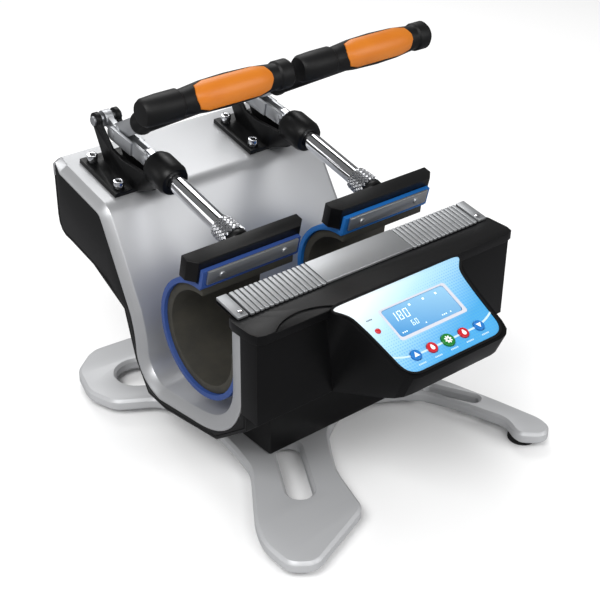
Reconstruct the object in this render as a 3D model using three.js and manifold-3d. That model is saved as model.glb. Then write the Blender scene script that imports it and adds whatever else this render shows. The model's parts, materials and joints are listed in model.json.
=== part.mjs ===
// Twin-station mug heat press. Millimetres, +Z up, the front faces -Y, the stations lie along X.
import * as THREE from 'three';
import Module from 'manifold-3d';
import { mergeVertices } from 'three/addons/utils/BufferGeometryUtils.js';

const wasm = await Module();
wasm.setup();

// Clearances and drawing counts
const fitGap = 0.3;
const overrun = 2;
const roundSides = 24;
const scoopSides = 48;
const pinSides = 12;
const hexagonSides = 6;
const cornerSteps = 2;
const curveSteps = 4;
const toeSteps = 8;
const half = 0.5;
const both = 2;
const rightAngle = Math.PI / 2;
const fullTurn = Math.PI * 2;
const degree = Math.PI / 180;

// Stations and the mug that each one heats
const stationSpacing = 150;
const mugRadius = 42;
const mugAxisY = 10;
const mugAxisZ = 139;

// X-shaped foot plate and what stands between it and the casing
const baseHalfWidth = 152;
const baseHalfDepth = 187;
const baseMidY = 30.5;
const baseThickness = 12;
const baseChamfer = 2.5;
const baseCornerRadius = 16;
const padRadius = 13;
const padHeight = 6;
const padSeatDepth = 2;
const columnHalfWidth = 78;

// Silver shell: tilted deck with a raised rear rim, slanted face and trough
const deckTilt = 13 * degree;
const deckFrontY = 151;
const deckFrontZ = 203;
const deckDepth = 68;
const rimRun = 9;
const rimRise = 5;
const rimTopToRear = 8;
const rimHeight = 13;
const rimFall = 5;
const rimEdgeDepth = 5;
const rimEdgeChamfer = 3;
const slantFootY = 102;
const slantFootZ = 121;
const troughRearY = 94;
const troughRearZ = 82;
const troughHeelY = 66;
const troughHeelZ = 59;
const troughToeY = 12;
const troughToeZ = 70;
const frontWallFootZ = 124;
const frontWallTopZ = 184;
const shellSideMargin = 55;
const shellRearNarrowing = 12;
const shellThickness = 3;
const rimChamfer = 7;
const rimSkirt = 2;
const frontRimChamfer = 19;

// Black rear casing and its side covers
const casingThickness = 3;
const casingRearInset = 2;
const casingTankY = 176;
const casingTankZ = 137;
const casingTankDepth = 38;
const casingRearCorner = 20;
const casingBackY = 124;
const casingBackZ = 115;
const casingWaistY = 108;
const casingWaistZ = 70;
const casingFootRearY = 88;
const casingFootFrontY = 58;
const casingFootZ = 43.5;
const casingToeY = -26;
const casingToeZ = 62;
const casingFrontFootZ = 96;
const casingFrontOverlap = 4;
const sideCoverThickness = 3;
const sideCoverInset = 1;

// Control box across the front, its lid and the ribbed bar
const boxSideMargin = 8;
const boxDepth = 21;
const boxBottomZ = 112;
const boxWall = 3;
const lidSideMargin = 3;
const lidFrontMargin = 4;
const lidRearMargin = 15;
const lidTopZ = 195.5;
const lidThickness = 8;
const lidCorner = 9;
const scoopRadius = 46;
const scoopDepth = 1.5;
const scoopOffsetX = 92;
const scoopOffsetY = 34;
const barDepth = 28;
const barSeat = 10;
const barRise = 5;
const barFrontThickness = 2.5;
const barRearThickness = 5;
const barSideInset = 2;
const ribPitch = 6;
const ribGroove = 2.2;
const ribGrooveDepth = 1.4;
const ribCount = 15;
const barStudHeadRadius = 3;
const barStudRadius = 1.6;
const barStudHeadHeight = 1;
const barStudInset = 6;

// Sloped control panel on its pod
const panelTilt = 23.4 * degree;
const panelTopMargin = 1;
const panelHalfTop = 72;
const panelLength = 79;
const panelThickness = 2;
const panelBorder = 5;
const panelCorner = 13;
const panelCornerSteps = cornerSteps + 1;
const panelFootShare = 0.72;
const podFrontHeight = 22;
const podWall = 3.5;
const screenHalfWidth = 34;
const screenTop = 19;
const screenFoot = 47.5;
const screenCorner = 3;
const buttonPitch = 17.3;
const buttonRow = 65.7;
const buttonRadius = 4.8;
const middleButtonRadius = 6;
const buttonProud = 1.6;
const buttonFlange = 1.2;
const buttonFlangeHeight = 1;
const buttonTravel = 1;
const lampPastBoard = 2;
const lampRow = 33.9;
const lampRadius = 2.2;
const lampProud = 0.6;
const boardDrop = 14;
const boardThickness = 1.6;
const boardSideGap = 7.34;
const boardHalfWidth = panelHalfTop * panelFootShare + panelBorder - podWall - boardSideGap;
const lampX = -boardHalfWidth - lampPastBoard;
const boardTop = 14;
const boardFoot = 76;
const boardPostRadius = 2.5;
const boardPostInset = 3;
const moduleOffset = 20;
const moduleHalfWidth = 14;
const moduleTop = 24;
const moduleFoot = 50;
const moduleHeight = 14;

// Toggle clamp, in a frame whose origin lies on the push rod's axis
const rodAxisY = 180;
const rodAxisHeight = 36;
const plateHalfWidth = 31;
const plateHalfDepth = 30;
const plateThickness = 4;
const plateScrewInset = 8;
const plateScrewRadius = 3;
const plateScrewHeadRadius = 5;
const plateScrewHeadHeight = 7;
const plateScrewSocketRadius = 2.4;
const plateScrewSocketDepth = 3.5;
const plateScrewLength = 14;
const pivotBack = 38;
const pivotDrop = 1;
const crankReach = 20;
const crankDrop = 3;
const rodPinForward = 33;
const eyeRadius = 7.5;
const pinRadius = 3;
const leverThickness = 8;
const leverBarThickness = 5;
const leverHeight = 15;
const leverRise = 41.7 * degree;
const leverLength = 197;
const crankArmHeight = 11;
const rodTongueThickness = 5;
const linkThickness = 3;
const linkHeight = 12.5;
const linkBossProud = 0.5;
const linkBossRadius = 4.5;
const linkBridgeStart = 18;
const linkBridgeLength = 10;
const linkNeckStart = 29;
const linkNeckOverlap = 3;
const earThickness = 4;
const pinHeadHeight = 2;
const pinHeadRadius = 4.5;
const collarRear = 43;
const collarLength = 30;
const collarRadius = 15.2;
const collarNoseRadius = 13.2;
const collarNoseLength = 5;
const rodRadius = 8;
const rodFlatFront = 50;
const rodFront = 140;
const studRadius = 5;
const studInBar = 10;
const knurlRadius = 12.5;
const knurlLength = 20;
const knurlCount = 24;
const knurlDepth = 0.9;
const lockRingRadius = 11;
const lockRingLength = 5;
const clampDepth = 15;
const clampSideGap = 16;
const clampTop = 9.5;
const clampBottom = 11;
const clampChamfer = 7;

// Heater mats and the strips that hold their ends
const matInset = 9;
const matThickness = 4.6;
const linerThickness = 7.1;
const matFlapThickness = 4;
const matFlapTop = 2;
const matTopAngle = 96 * degree;
const matArcSteps = 30;
const matTrimSides = 60;
const stripThickness = 2;
const stripInset = 4;
const rivetRadius = 1.6;
const rivetHeadRadius = 2.8;
const rivetHeadHeight = 1.4;
const rivetDepth = 5;
const rivetInset = 14;
const frontStripDrop = 3;
const frontStripHeight = 13;

// Handle
const sleeveStart = 32;
const sleeveRadius = 10;
const sleeveFlangeRadius = 10.8;
const sleeveFlangeLength = 5;
const sleevePocket = 30;
const gripGap = 9.6;
const gripOffset = -13;
const gripBulgeLength = 34;
const gripGrooveWidth = 3;
const gripCapLength = 15;
const inlayOffset = -2.8;
const inlayLength = 73;
const gripEndRadius = 9.5;
const gripBulgeRadius = 12;
const gripNeckRadius = 10.6;
const gripMidRadius = 13.4;
const inlayDepth = 1.6;
const inlayProud = 0.5;
const inlayHalfHeight = 12;
const inlayAim = 42 * degree;

// Mains inlet, switch and power module
const rearFittingZ = 186;
const inletX = 62;
const inletHalfWidth = 13.5;
const inletHalfHeight = 10;
const inletDepth = 22;
const rearFlangeThickness = 2;
const rearFlangeMargin = 2.5;
const inletCavityDepth = 14;
const inletWall = 2.5;
const bladeHalfWidth = 2.2;
const bladeHalfThickness = 0.8;
const bladeLength = 9;
const bladePitch = 6.5;
const switchX = 18;
const switchHalfWidth = 7.5;
const switchHalfHeight = 11;
const switchDepth = 18;
const switchWall = 1.5;
const rockerHalfHeight = 7.6;
const rockerProud = 4.5;
const rockerDip = 1.7;
const rockerBack = 5;
const rockerPivotDepth = 4;
const rockerAxleRadius = 1.5;

// Solid modelling helpers

function toManifold(geometry) {
  const bare = geometry.clone();
  bare.deleteAttribute('normal');
  bare.deleteAttribute('uv');
  const merged = mergeVertices(bare);
  const vertProperties = new Float32Array(merged.attributes.position.array);
  const triVerts = new Uint32Array(merged.index.array);
  return new wasm.Manifold(new wasm.Mesh({ numProp: 3, vertProperties, triVerts }));
}

function fromManifold(solid) {
  const mesh = solid.getMesh();
  const geometry = new THREE.BufferGeometry();
  geometry.setAttribute('position', new THREE.BufferAttribute(new Float32Array(mesh.vertProperties), 3));
  geometry.setIndex(new THREE.BufferAttribute(new Uint32Array(mesh.triVerts), 1));
  const faceted = geometry.toNonIndexed();
  faceted.computeVertexNormals();
  return faceted;
}

function join(...geometries) {
  return fromManifold(geometries.map(toManifold).reduce((sum, next) => sum.add(next)));
}

function cut(base, ...cutters) {
  return fromManifold(cutters.map(toManifold).reduce((rest, next) => rest.subtract(next), toManifold(base)));
}

function overlap(first, second) {
  return fromManifold(toManifold(first).intersect(toManifold(second)));
}

function block(xRange, yRange, zRange) {
  const size = [xRange, yRange, zRange].map(([low, high]) => high - low);
  const middle = [xRange, yRange, zRange].map(([low, high]) => (low + high) * half);
  return new THREE.BoxGeometry(...size).translate(...middle);
}

function alongX(radius, xRange, y, z, sides = pinSides) {
  const geometry = new THREE.CylinderGeometry(radius, radius, xRange[1] - xRange[0], sides);
  return geometry.rotateZ(-rightAngle).translate((xRange[0] + xRange[1]) * half, y, z);
}

function alongY(radius, yRange, x, z, sides = pinSides) {
  const geometry = new THREE.CylinderGeometry(radius, radius, yRange[1] - yRange[0], sides);
  return geometry.translate(x, (yRange[0] + yRange[1]) * half, z);
}

function alongZ(radius, zRange, x, y, sides = pinSides) {
  const geometry = new THREE.CylinderGeometry(radius, radius, zRange[1] - zRange[0], sides);
  return geometry.rotateX(rightAngle).translate(x, y, (zRange[0] + zRange[1]) * half);
}

function extruded(shape, depth) {
  return new THREE.ExtrudeGeometry(shape, { depth, bevelEnabled: false, curveSegments: curveSteps });
}

// A shape drawn in Y and Z, extruded from the first X to the second
function slabAlongX(shape, xRange) {
  const basis = new THREE.Matrix4().makeBasis(
    new THREE.Vector3(0, 1, 0),
    new THREE.Vector3(0, 0, 1),
    new THREE.Vector3(1, 0, 0),
  );
  return extruded(shape, xRange[1] - xRange[0]).applyMatrix4(basis).translate(xRange[0], 0, 0);
}

// A shape drawn in X and Y, extruded from the first Z to the second
function slabAlongZ(shape, zRange) {
  return extruded(shape, zRange[1] - zRange[0]).translate(0, 0, zRange[0]);
}

function polygon(points) {
  return new THREE.Shape(points.map(([a, b]) => new THREE.Vector2(a, b)));
}

// A closed outline whose corners are rounded by curves that keep a straight part on each edge
const roundedEdgeShare = 0.4;

function roundedOutline(points, radius, steps = cornerSteps) {
  const corners = points.map(([a, b]) => new THREE.Vector2(a, b));
  return new THREE.Shape(corners.flatMap((corner, index) => {
    const before = corners[(index + corners.length - 1) % corners.length];
    const after = corners[(index + 1) % corners.length];
    const towards = (other) => {
      return corner.clone().lerp(other, Math.min(radius / corner.distanceTo(other), roundedEdgeShare));
    };
    const start = towards(before);
    const end = towards(after);
    return new THREE.QuadraticBezierCurve(start, corner, end).getPoints(steps);
  }));
}

const ascending = (a, b) => a - b;

function rectangle(aRange, bRange) {
  return [
    [aRange[0], bRange[0]],
    [aRange[1], bRange[0]],
    [aRange[1], bRange[1]],
    [aRange[0], bRange[1]],
  ];
}

// The path moved to its left by a depth that may differ at each point
function offsetPath(path, depthAt) {
  return path.map((point, index) => {
    const into = point.clone().sub(path[Math.max(index - 1, 0)]);
    const out = path[Math.min(index + 1, path.length - 1)].clone().sub(point);
    const first = (index === 0 ? out : into).normalize();
    const last = (index === path.length - 1 ? into : out).normalize();
    const mean = first.clone().add(last).normalize();
    const reach = depthAt(point) / mean.dot(first);
    return new THREE.Vector2(point.x - mean.y * reach, point.y + mean.x * reach);
  });
}

// A section of X and depth, carried along a path of Y and Z, with the depth measured to the path's left
function sweep(path, sectionAt) {
  const corners = path.map(sectionAt);
  const rings = path.map(() => []);
  corners[0].forEach((unused, side) => {
    const depths = new Map(path.map((point, index) => [point, corners[index][side][1]]));
    offsetPath(path, (point) => depths.get(point)).forEach((point, index) => {
      rings[index].push([corners[index][side][0], point.x, point.y]);
    });
  });
  return loft(rings);
}

// Closed solid through rings of equal length, with flat ends
function loft(rings) {
  const count = rings[0].length;
  const index = [];
  for (let ring = 0; ring + 1 < rings.length; ring += 1) {
    for (let side = 0; side < count; side += 1) {
      const a = ring * count + side;
      const b = ring * count + (side + 1) % count;
      index.push(a, b, a + count, b, b + count, a + count);
    }
  }
  const caps = THREE.ShapeUtils.triangulateShape(flattened(rings[0]), []);
  const lastRing = (rings.length - 1) * count;
  caps.forEach(([a, b, c]) => index.push(c, b, a, a + lastRing, b + lastRing, c + lastRing));
  const geometry = new THREE.BufferGeometry();
  geometry.setAttribute('position', new THREE.Float32BufferAttribute(rings.flat(2), 3));
  geometry.setIndex(index);
  return signedVolume(geometry) < 0 ? turnedInsideOut(geometry) : geometry;
}

// The points of a nearly flat ring, drawn in its own plane
function flattened(ring) {
  const points = ring.map((point) => new THREE.Vector3(...point));
  const normal = new THREE.Vector3();
  points.forEach((point, index) => {
    const next = points[(index + 1) % points.length];
    normal.add(point.clone().sub(points[0]).cross(next.clone().sub(points[0])));
  });
  normal.normalize();
  const across = points[1].clone().sub(points[0]).normalize();
  const second = new THREE.Vector3().crossVectors(normal, across);
  return points.map((point) => new THREE.Vector2(point.dot(across), point.dot(second)));
}

function signedVolume(geometry) {
  const position = geometry.attributes.position;
  const corners = [new THREE.Vector3(), new THREE.Vector3(), new THREE.Vector3()];
  let volume = 0;
  for (let start = 0; start < geometry.index.count; start += 3) {
    corners.forEach((corner, offset) => {
      corner.fromBufferAttribute(position, geometry.index.getX(start + offset));
    });
    volume += corners[0].dot(corners[1].clone().cross(corners[2]));
  }
  return volume;
}

function turnedInsideOut(geometry) {
  const index = Array.from(geometry.index.array);
  for (let start = 0; start < index.length; start += 3) {
    [index[start], index[start + 1]] = [index[start + 1], index[start]];
  }
  geometry.setIndex(index);
  return geometry;
}

// Finishes

const satinSilver = [0xc9c9ca, 0.38, 0.6];
const blackCasing = [0x262627, 0.5, 0.1];
const blackBox = [0x1d1d1f, 0.42, 0.1];
const blackCast = [0x17171a, 0.45, 0.3];
const blackRubber = [0x1b1b1d, 0.75, 0];
const chrome = [0xdedfe2, 0.12, 1];
const satinSteel = [0xa5a7aa, 0.35, 0.9];
const orangeGrip = [0xe07a14, 0.45, 0];
const blueSilicone = [0x2f62b4, 0.6, 0];
const darkLiner = [0x3a382f, 0.8, 0];
const panelBlue = [0x63bdf0, 0.3, 0];
const screenBlue = [0x2f74c8, 0.15, 0];
const boardGreen = [0x1f5a35, 0.6, 0.1];
const buttonBlue = [0x1f7fd6, 0.3, 0];
const buttonRed = [0xd81e2c, 0.3, 0];
const buttonGreen = [0x1e8c2e, 0.3, 0];

function piece(name, geometry, [color, roughness, metalness]) {
  const mesh = new THREE.Mesh(geometry, new THREE.MeshStandardMaterial({ color, roughness, metalness }));
  mesh.name = name;
  return mesh;
}

// Sizes and frames worked out from the driving ones

const stationX = stationSpacing * half;
const deckSlope = Math.tan(deckTilt);
const deckRearY = deckFrontY + deckDepth;
const deckRearZ = deckFrontZ + deckDepth * deckSlope;
const rimRearY = deckRearY + rimRun + rimTopToRear;
const rimRearZ = deckRearZ + rimRise - rimFall - rimHeight;
const linerOuterRadius = mugRadius + linerThickness;
const matInnerRadius = linerOuterRadius + fitGap;
const matOuterRadius = matInnerRadius + matThickness;
const frontWallY = mugAxisY - matOuterRadius - fitGap;
const shellFrontHalfWidth = stationX + shellSideMargin;
const shellRearHalfWidth = shellFrontHalfWidth - shellRearNarrowing;
const casingRearY = rimRearY - casingRearInset;
const boxHalfWidth = shellFrontHalfWidth + boxSideMargin;
const boxRearY = frontWallY - frontRimChamfer - rimSkirt - fitGap;
const boxFrontY = boxRearY - boxDepth;
const lidFrontY = boxFrontY - lidFrontMargin;
const lidRearY = boxRearY + lidRearMargin;
const lidBottomZ = lidTopZ - lidThickness;
const lidHalfWidth = boxHalfWidth + lidSideMargin;
const barFrontY = lidRearY - barSeat;
const barBottomZ = lidTopZ + fitGap;
const barHalfWidth = boxHalfWidth - barSideInset;
const panelTopY = lidFrontY - panelTopMargin;
const baseTopZ = padHeight + baseThickness;
const clampHalfWidth = stationX - clampSideGap;
const matHalfWidth = clampHalfWidth - matInset;
const stripHalfWidth = matHalfWidth - stripInset;
const linkInner = leverThickness * half + fitGap;
const linkNeckInner = rodTongueThickness * half + fitGap;
const earInner = linkInner + linkThickness + linkBossProud + fitGap;
const earOuter = earInner + earThickness;
const collarFront = collarRear + collarLength;
const knurlRear = rodFront + fitGap;
const lockRingRear = knurlRear + knurlLength + fitGap;
const clampRear = lockRingRear + lockRingLength + fitGap;
const clampFront = clampRear + clampDepth;
const deckZ = (y) => deckFrontZ + (y - deckFrontY) * deckSlope;

const toggleMatrix = new THREE.Matrix4()
  .makeRotationX(deckTilt)
  .setPosition(0, rodAxisY, deckZ(rodAxisY) + rodAxisHeight / Math.cos(deckTilt));
const panelMatrix = new THREE.Matrix4().makeRotationX(panelTilt).setPosition(0, panelTopY, lidTopZ);

function inToggleFrame(geometry, x) {
  return geometry.clone().applyMatrix4(toggleMatrix).translate(x, 0, 0);
}

// Shell and casing paths, drawn in Y and Z from the rear to the front

function curvePoints(start, control, end, steps = curveSteps) {
  const curve = new THREE.QuadraticBezierCurve(
    new THREE.Vector2(...start),
    new THREE.Vector2(...control),
    new THREE.Vector2(...end),
  );
  return curve.getPoints(steps);
}

const heelRoundnessShare = 0.9;
const toeRoundnessShare = 0.8;

function shellPath() {
  const heelControl = [
    THREE.MathUtils.lerp(troughHeelY, troughRearY, heelRoundnessShare),
    THREE.MathUtils.lerp(troughRearZ, troughHeelZ, heelRoundnessShare),
  ];
  const rearControl = [troughRearY, THREE.MathUtils.lerp(troughRearZ, slantFootZ, half)];
  const toeControl = [frontWallY, THREE.MathUtils.lerp(frontWallFootZ, troughToeZ, toeRoundnessShare)];
  return [
    new THREE.Vector2(rimRearY, rimRearZ),
    new THREE.Vector2(rimRearY, rimRearZ + rimHeight),
    new THREE.Vector2(deckRearY + rimRun, deckRearZ + rimRise),
    new THREE.Vector2(deckRearY, deckRearZ),
    new THREE.Vector2(deckFrontY, deckFrontZ),
    ...curvePoints([slantFootY, slantFootZ], rearControl, [troughRearY, troughRearZ]),
    ...curvePoints([troughRearY, troughRearZ], heelControl, [troughHeelY, troughHeelZ]).slice(1),
    ...curvePoints([troughToeY, troughToeZ], toeControl, [frontWallY, frontWallFootZ], toeSteps),
    new THREE.Vector2(frontWallY, frontWallTopZ),
  ];
}

function casingPath() {
  const tankRearY = casingTankY + casingTankDepth;
  const tankRearZ = casingTankZ + casingTankDepth * deckSlope;
  const casingFrontY = boxRearY - casingFrontOverlap;
  const cornerTop = [casingRearY, tankRearZ + casingRearCorner];
  return [
    new THREE.Vector2(casingRearY, rimRearZ - fitGap),
    ...curvePoints(cornerTop, [casingRearY, tankRearZ], [tankRearY, tankRearZ]),
    new THREE.Vector2(casingTankY, casingTankZ),
    new THREE.Vector2(casingBackY, casingBackZ),
    new THREE.Vector2(casingWaistY, casingWaistZ),
    new THREE.Vector2(casingFootRearY, casingFootZ),
    new THREE.Vector2(casingFootFrontY, casingFootZ),
    new THREE.Vector2(casingToeY, casingToeZ),
    new THREE.Vector2(casingFrontY, casingFrontFootZ),
    new THREE.Vector2(casingFrontY, boxBottomZ - fitGap),
  ];
}

// Half width of the shell's flat surface, which widens from the deck to the front wall
function shellHalfWidth(y) {
  const flare = shellRearNarrowing / (deckFrontY - frontWallY);
  return shellRearHalfWidth + THREE.MathUtils.clamp(deckFrontY - y, 0, deckFrontY - frontWallY) * flare;
}

const casingHalfWidth = (y) => shellHalfWidth(y) + rimChamfer - sideCoverInset;

// Depth of the chamfered side rim behind the shell's surface
function rimChamferDepth(point) {
  if (point.x > deckRearY) {
    return rimEdgeChamfer;
  }
  const climb = (point.y - troughToeZ) / (frontWallFootZ - troughToeZ);
  const share = point.x < troughToeY ? THREE.MathUtils.clamp(climb, 0, 1) : 0;
  return THREE.MathUtils.lerp(rimChamfer, frontRimChamfer, share);
}

const rimDepth = (point) => (point.x > deckRearY ? rimEdgeDepth : rimChamferDepth(point) + rimSkirt);

function shellSection(point) {
  const flat = shellHalfWidth(point.x);
  const outer = flat + rimChamfer;
  const inner = outer - shellThickness;
  const chamfer = rimChamferDepth(point);
  const depth = rimDepth(point);
  const skin = Math.min(shellThickness, chamfer);
  return [
    [-outer, depth],
    [-outer, chamfer],
    [-flat, 0],
    [flat, 0],
    [outer, chamfer],
    [outer, depth],
    [inner, depth],
    [flat - skin * half, skin],
    [skin * half - flat, skin],
    [-inner, depth],
  ];
}

function troughShell() {
  const shell = sweep(shellPath(), shellSection);
  const deckHoles = stationSides.flatMap(([, x]) => plateScrewPlaces().map((place) => {
    const hole = alongZ(plateScrewRadius + fitGap, [-rodAxisHeight - plateScrewLength, 0], ...place);
    return inToggleFrame(hole, x);
  }));
  const wallHoles = stationSides.flatMap(([, x]) => rivetPlaces().map((across) => {
    const reach = [frontWallY - rivetDepth - overrun, frontWallY + overrun];
    return alongY(rivetRadius + fitGap, reach, x + across, frontStripMidZ);
  }));
  return cut(shell, ...deckHoles, ...wallHoles);
}

function casingSection(point) {
  const width = casingHalfWidth(point.x);
  return [[-width, 0], [width, 0], [width, -casingThickness], [-width, -casingThickness]];
}

function rearOpening(x, halfWidth, halfHeight) {
  const yRange = [casingRearY - casingThickness - overrun, casingRearY + overrun];
  const zRange = [rearFittingZ - halfHeight, rearFittingZ + halfHeight];
  return block([x - halfWidth, x + halfWidth], yRange, zRange);
}

function rearCasing() {
  return cut(
    sweep(casingPath(), casingSection),
    rearOpening(inletX, inletHalfWidth + fitGap, inletHalfHeight + fitGap),
    rearOpening(switchX, switchHalfWidth + fitGap, switchHalfHeight + fitGap),
  );
}

// A cover fills the side between the casing's skin and the shell's rim
function sideCover(side) {
  const lower = offsetPath(casingPath(), () => -casingThickness - fitGap);
  const upper = offsetPath(shellPath(), (point) => rimDepth(point) + fitGap);
  const trimmed = upper.filter((point) => point.y < boxBottomZ || point.x > troughToeY);
  const outline = [...lower, ...trimmed.reverse()].map((point) => [point.x, point.y]);
  const reach = shellFrontHalfWidth + rimChamfer;
  const slab = slabAlongX(polygon(outline), [0, reach]);
  const rows = [boxFrontY, frontWallY, deckFrontY, rimRearY];
  const outer = rows.map((y) => [casingHalfWidth(y), y]);
  const inner = rows.map((y) => [casingHalfWidth(y) - sideCoverThickness, y]);
  const plan = slabAlongZ(polygon([...outer, ...inner.reverse()]), [0, lidTopZ + deckRearZ]);
  const cover = overlap(slab, plan);
  return side > 0 ? cover : mirrored(cover);
}

function mirrored(geometry) {
  const copy = geometry.clone().scale(-1, 1, 1);
  const position = copy.attributes.position;
  const flipped = [];
  for (let start = 0; start < position.count; start += 3) {
    [start, start + 2, start + 1].forEach((corner) => {
      flipped.push(position.getX(corner), position.getY(corner), position.getZ(corner));
    });
  }
  const result = new THREE.BufferGeometry();
  result.setAttribute('position', new THREE.Float32BufferAttribute(flipped, 3));
  result.computeVertexNormals();
  return result;
}

// Foot plate, pads, column and bolts

const footShares = [
  [-0.6, 0.05], [-0.63, -0.16], [-0.67, -0.32], [-0.84, -0.52], [-0.94, -0.64], [-1, -0.76], [-1, -0.93],
  [-0.88, -1], [-0.55, -0.9], [-0.39, -0.85], [-0.36, -0.76], [-0.29, -0.57], [-0.2, -0.45], [-0.1, -0.33],
  [0.05, -0.25], [0.2, -0.22], [0.34, -0.23], [0.51, -0.3], [0.65, -0.4], [0.74, -0.6], [0.82, -0.79],
  [0.76, -0.91], [0.88, -1], [0.97, -0.97], [1, -0.9], [0.93, -0.65], [0.84, -0.38], [0.74, -0.19],
  [0.66, 0.05], [0.66, 0.28], [0.7, 0.41], [0.93, 0.52], [0.99, 0.68], [0.92, 0.88], [0.73, 1],
  [0.42, 0.98], [0.25, 0.82], [0, 0.76], [-0.25, 0.82], [-0.42, 0.98], [-0.73, 1], [-0.92, 0.88],
  [-0.99, 0.68], [-0.93, 0.52], [-0.7, 0.41], [-0.63, 0.28],
];
const frontLeftSlotShares = { start: [-0.39, -0.31], end: [-0.57, -0.58], width: 0.15 };
const frontRightSlotShares = { start: [0.69, -0.37], end: [0.82, -0.57], width: 0.07 };
const rearLeftSlotShares = { start: [-0.4, 0.55], end: [-0.63, 0.67], width: 0.28 };
const rearRightSlotShares = { start: [0.4, 0.55], end: [0.63, 0.67], width: 0.28 };
const padShares = [[-0.8, -0.82], [0.88, -0.86], [-0.8, 0.8], [0.8, 0.8]];

const onFoot = ([x, y]) => [x * baseHalfWidth, baseMidY + y * baseHalfDepth];

function footSlot({ start, end, width }) {
  const from = new THREE.Vector2(...onFoot(start));
  const to = new THREE.Vector2(...onFoot(end));
  const radius = width * baseHalfWidth * half;
  const angle = to.clone().sub(from).angle();
  const hole = new THREE.Shape();
  hole.absarc(to.x, to.y, radius, angle - rightAngle, angle + rightAngle);
  hole.absarc(from.x, from.y, radius, angle + rightAngle, angle - rightAngle);
  hole.closePath();
  return hole;
}

function basePlate() {
  const outline = roundedOutline(footShares.map(onFoot), baseCornerRadius);
  const slotShares = [frontLeftSlotShares, frontRightSlotShares, rearLeftSlotShares, rearRightSlotShares];
  const slots = slotShares.map((shares) => {
    return slabAlongZ(footSlot(shares), [padHeight - overrun, baseTopZ + overrun]);
  });
  const plate = new THREE.ExtrudeGeometry(outline, {
    depth: baseThickness - baseChamfer * both,
    bevelEnabled: true,
    bevelThickness: baseChamfer,
    bevelSize: baseChamfer,
    bevelOffset: -baseChamfer,
    bevelSegments: 1,
    curveSegments: cornerSteps,
  });
  plate.translate(0, 0, padHeight + baseChamfer);
  const seats = padShares.map(onFoot).map(([x, y]) => {
    return alongZ(padRadius + fitGap, [padHeight - overrun, padHeight + padSeatDepth], x, y, roundSides);
  });
  return cut(plate, ...slots, ...seats);
}

function footPad([x, y]) {
  return alongZ(padRadius, [0, padHeight + padSeatDepth - fitGap], x, y, roundSides);
}

function supportColumn() {
  const rest = casingPath().filter((point) => point.x <= casingFootRearY && point.x >= casingToeY);
  const outline = [
    [casingToeY, baseTopZ + fitGap],
    [casingFootRearY, baseTopZ + fitGap],
    ...rest.map((point) => [point.x, point.y - fitGap]),
  ];
  return slabAlongX(polygon(outline), [-columnHalfWidth, columnHalfWidth]);
}

// Control box, lid and ribbed bar

const panelEdgeShares = [[1, 0], [0.85, 0.135], [0.81, 0.215], [0.77, 0.463], [panelFootShare, 1]];

// The panel's outline in its own plane, grown by an even border; rise carries its top edge further up
function panelOutline(grow, rise = 0) {
  const right = panelEdgeShares.map(([x, down]) => [x * panelHalfTop + grow, -down * panelLength]);
  right[0][1] = rise;
  right[right.length - 1][1] -= grow;
  const left = right.map(([x, y]) => [-x, y]).reverse();
  return roundedOutline([...right, ...left], panelCorner, panelCornerSteps);
}

function inPanelFrame(geometry) {
  return geometry.clone().applyMatrix4(panelMatrix);
}

// The pod's solid inside a wall of the given thickness
function podBody(wall) {
  const reach = panelLength + panelBorder;
  const prism = inPanelFrame(slabAlongZ(panelOutline(panelBorder - wall, boxDepth), [-reach, -wall]));
  const footY = panelTopY - reach * Math.cos(panelTilt) + podFrontHeight * Math.sin(panelTilt);
  const footZ = lidTopZ - reach * Math.sin(panelTilt) - podFrontHeight * Math.cos(panelTilt);
  const side = polygon([
    [boxRearY - wall, boxBottomZ + wall],
    [boxRearY - wall, lidTopZ],
    [panelTopY, lidTopZ + overrun],
    [footY - reach, lidTopZ],
    [footY - reach, footZ + wall],
    [footY, footZ + wall],
    [boxFrontY, boxBottomZ + wall],
  ]);
  return overlap(prism, slabAlongX(side, [-panelHalfTop - panelBorder, panelHalfTop + panelBorder]));
}

function boxBlock(wall) {
  return block(
    [wall - boxHalfWidth, boxHalfWidth - wall],
    [boxFrontY + wall, boxRearY - wall],
    [boxBottomZ + wall, lidBottomZ - fitGap - wall],
  );
}

function buttonPlaces() {
  return [-2, -1, 0, 1, 2].map((step) => {
    const radius = step === 0 ? middleButtonRadius : buttonRadius;
    return { x: step * buttonPitch, y: -buttonRow, radius };
  });
}

function boardPosts() {
  const sides = [boardPostInset - boardHalfWidth, boardHalfWidth - boardPostInset];
  const rows = [-boardTop - boardPostInset, boardPostInset - boardFoot];
  return sides.flatMap((x) => rows.map((y) => {
    return alongZ(boardPostRadius, [boardThickness - boardDrop + fitGap, -podWall], x, y);
  }));
}

function controlBox() {
  const lidSpace = block(
    [-lidHalfWidth, lidHalfWidth],
    [lidFrontY - fitGap, lidRearY],
    [lidBottomZ - fitGap, lidTopZ + panelLength],
  );
  const shell = cut(join(boxBlock(0), podBody(0)), lidSpace);
  const hollow = cut(join(boxBlock(boxWall), podBody(podWall)), lidSpace);
  const recess = inPanelFrame(slabAlongZ(panelOutline(fitGap), [-panelThickness, overrun]));
  const through = [-podWall - overrun - panelThickness, overrun];
  const screenHole = inPanelFrame(block(
    [-screenHalfWidth, screenHalfWidth],
    [-screenFoot, -screenTop],
    through,
  ));
  const buttonHoles = buttonPlaces().map(({ x, y, radius }) => {
    return inPanelFrame(alongZ(radius + fitGap, through, x, y));
  });
  const lampHole = inPanelFrame(alongZ(lampRadius + fitGap, through, lampX, -lampRow));
  const walls = cut(shell, hollow);
  const posts = boardPosts().map(inPanelFrame);
  return cut(join(walls, ...posts), recess, screenHole, ...buttonHoles, lampHole);
}

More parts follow.
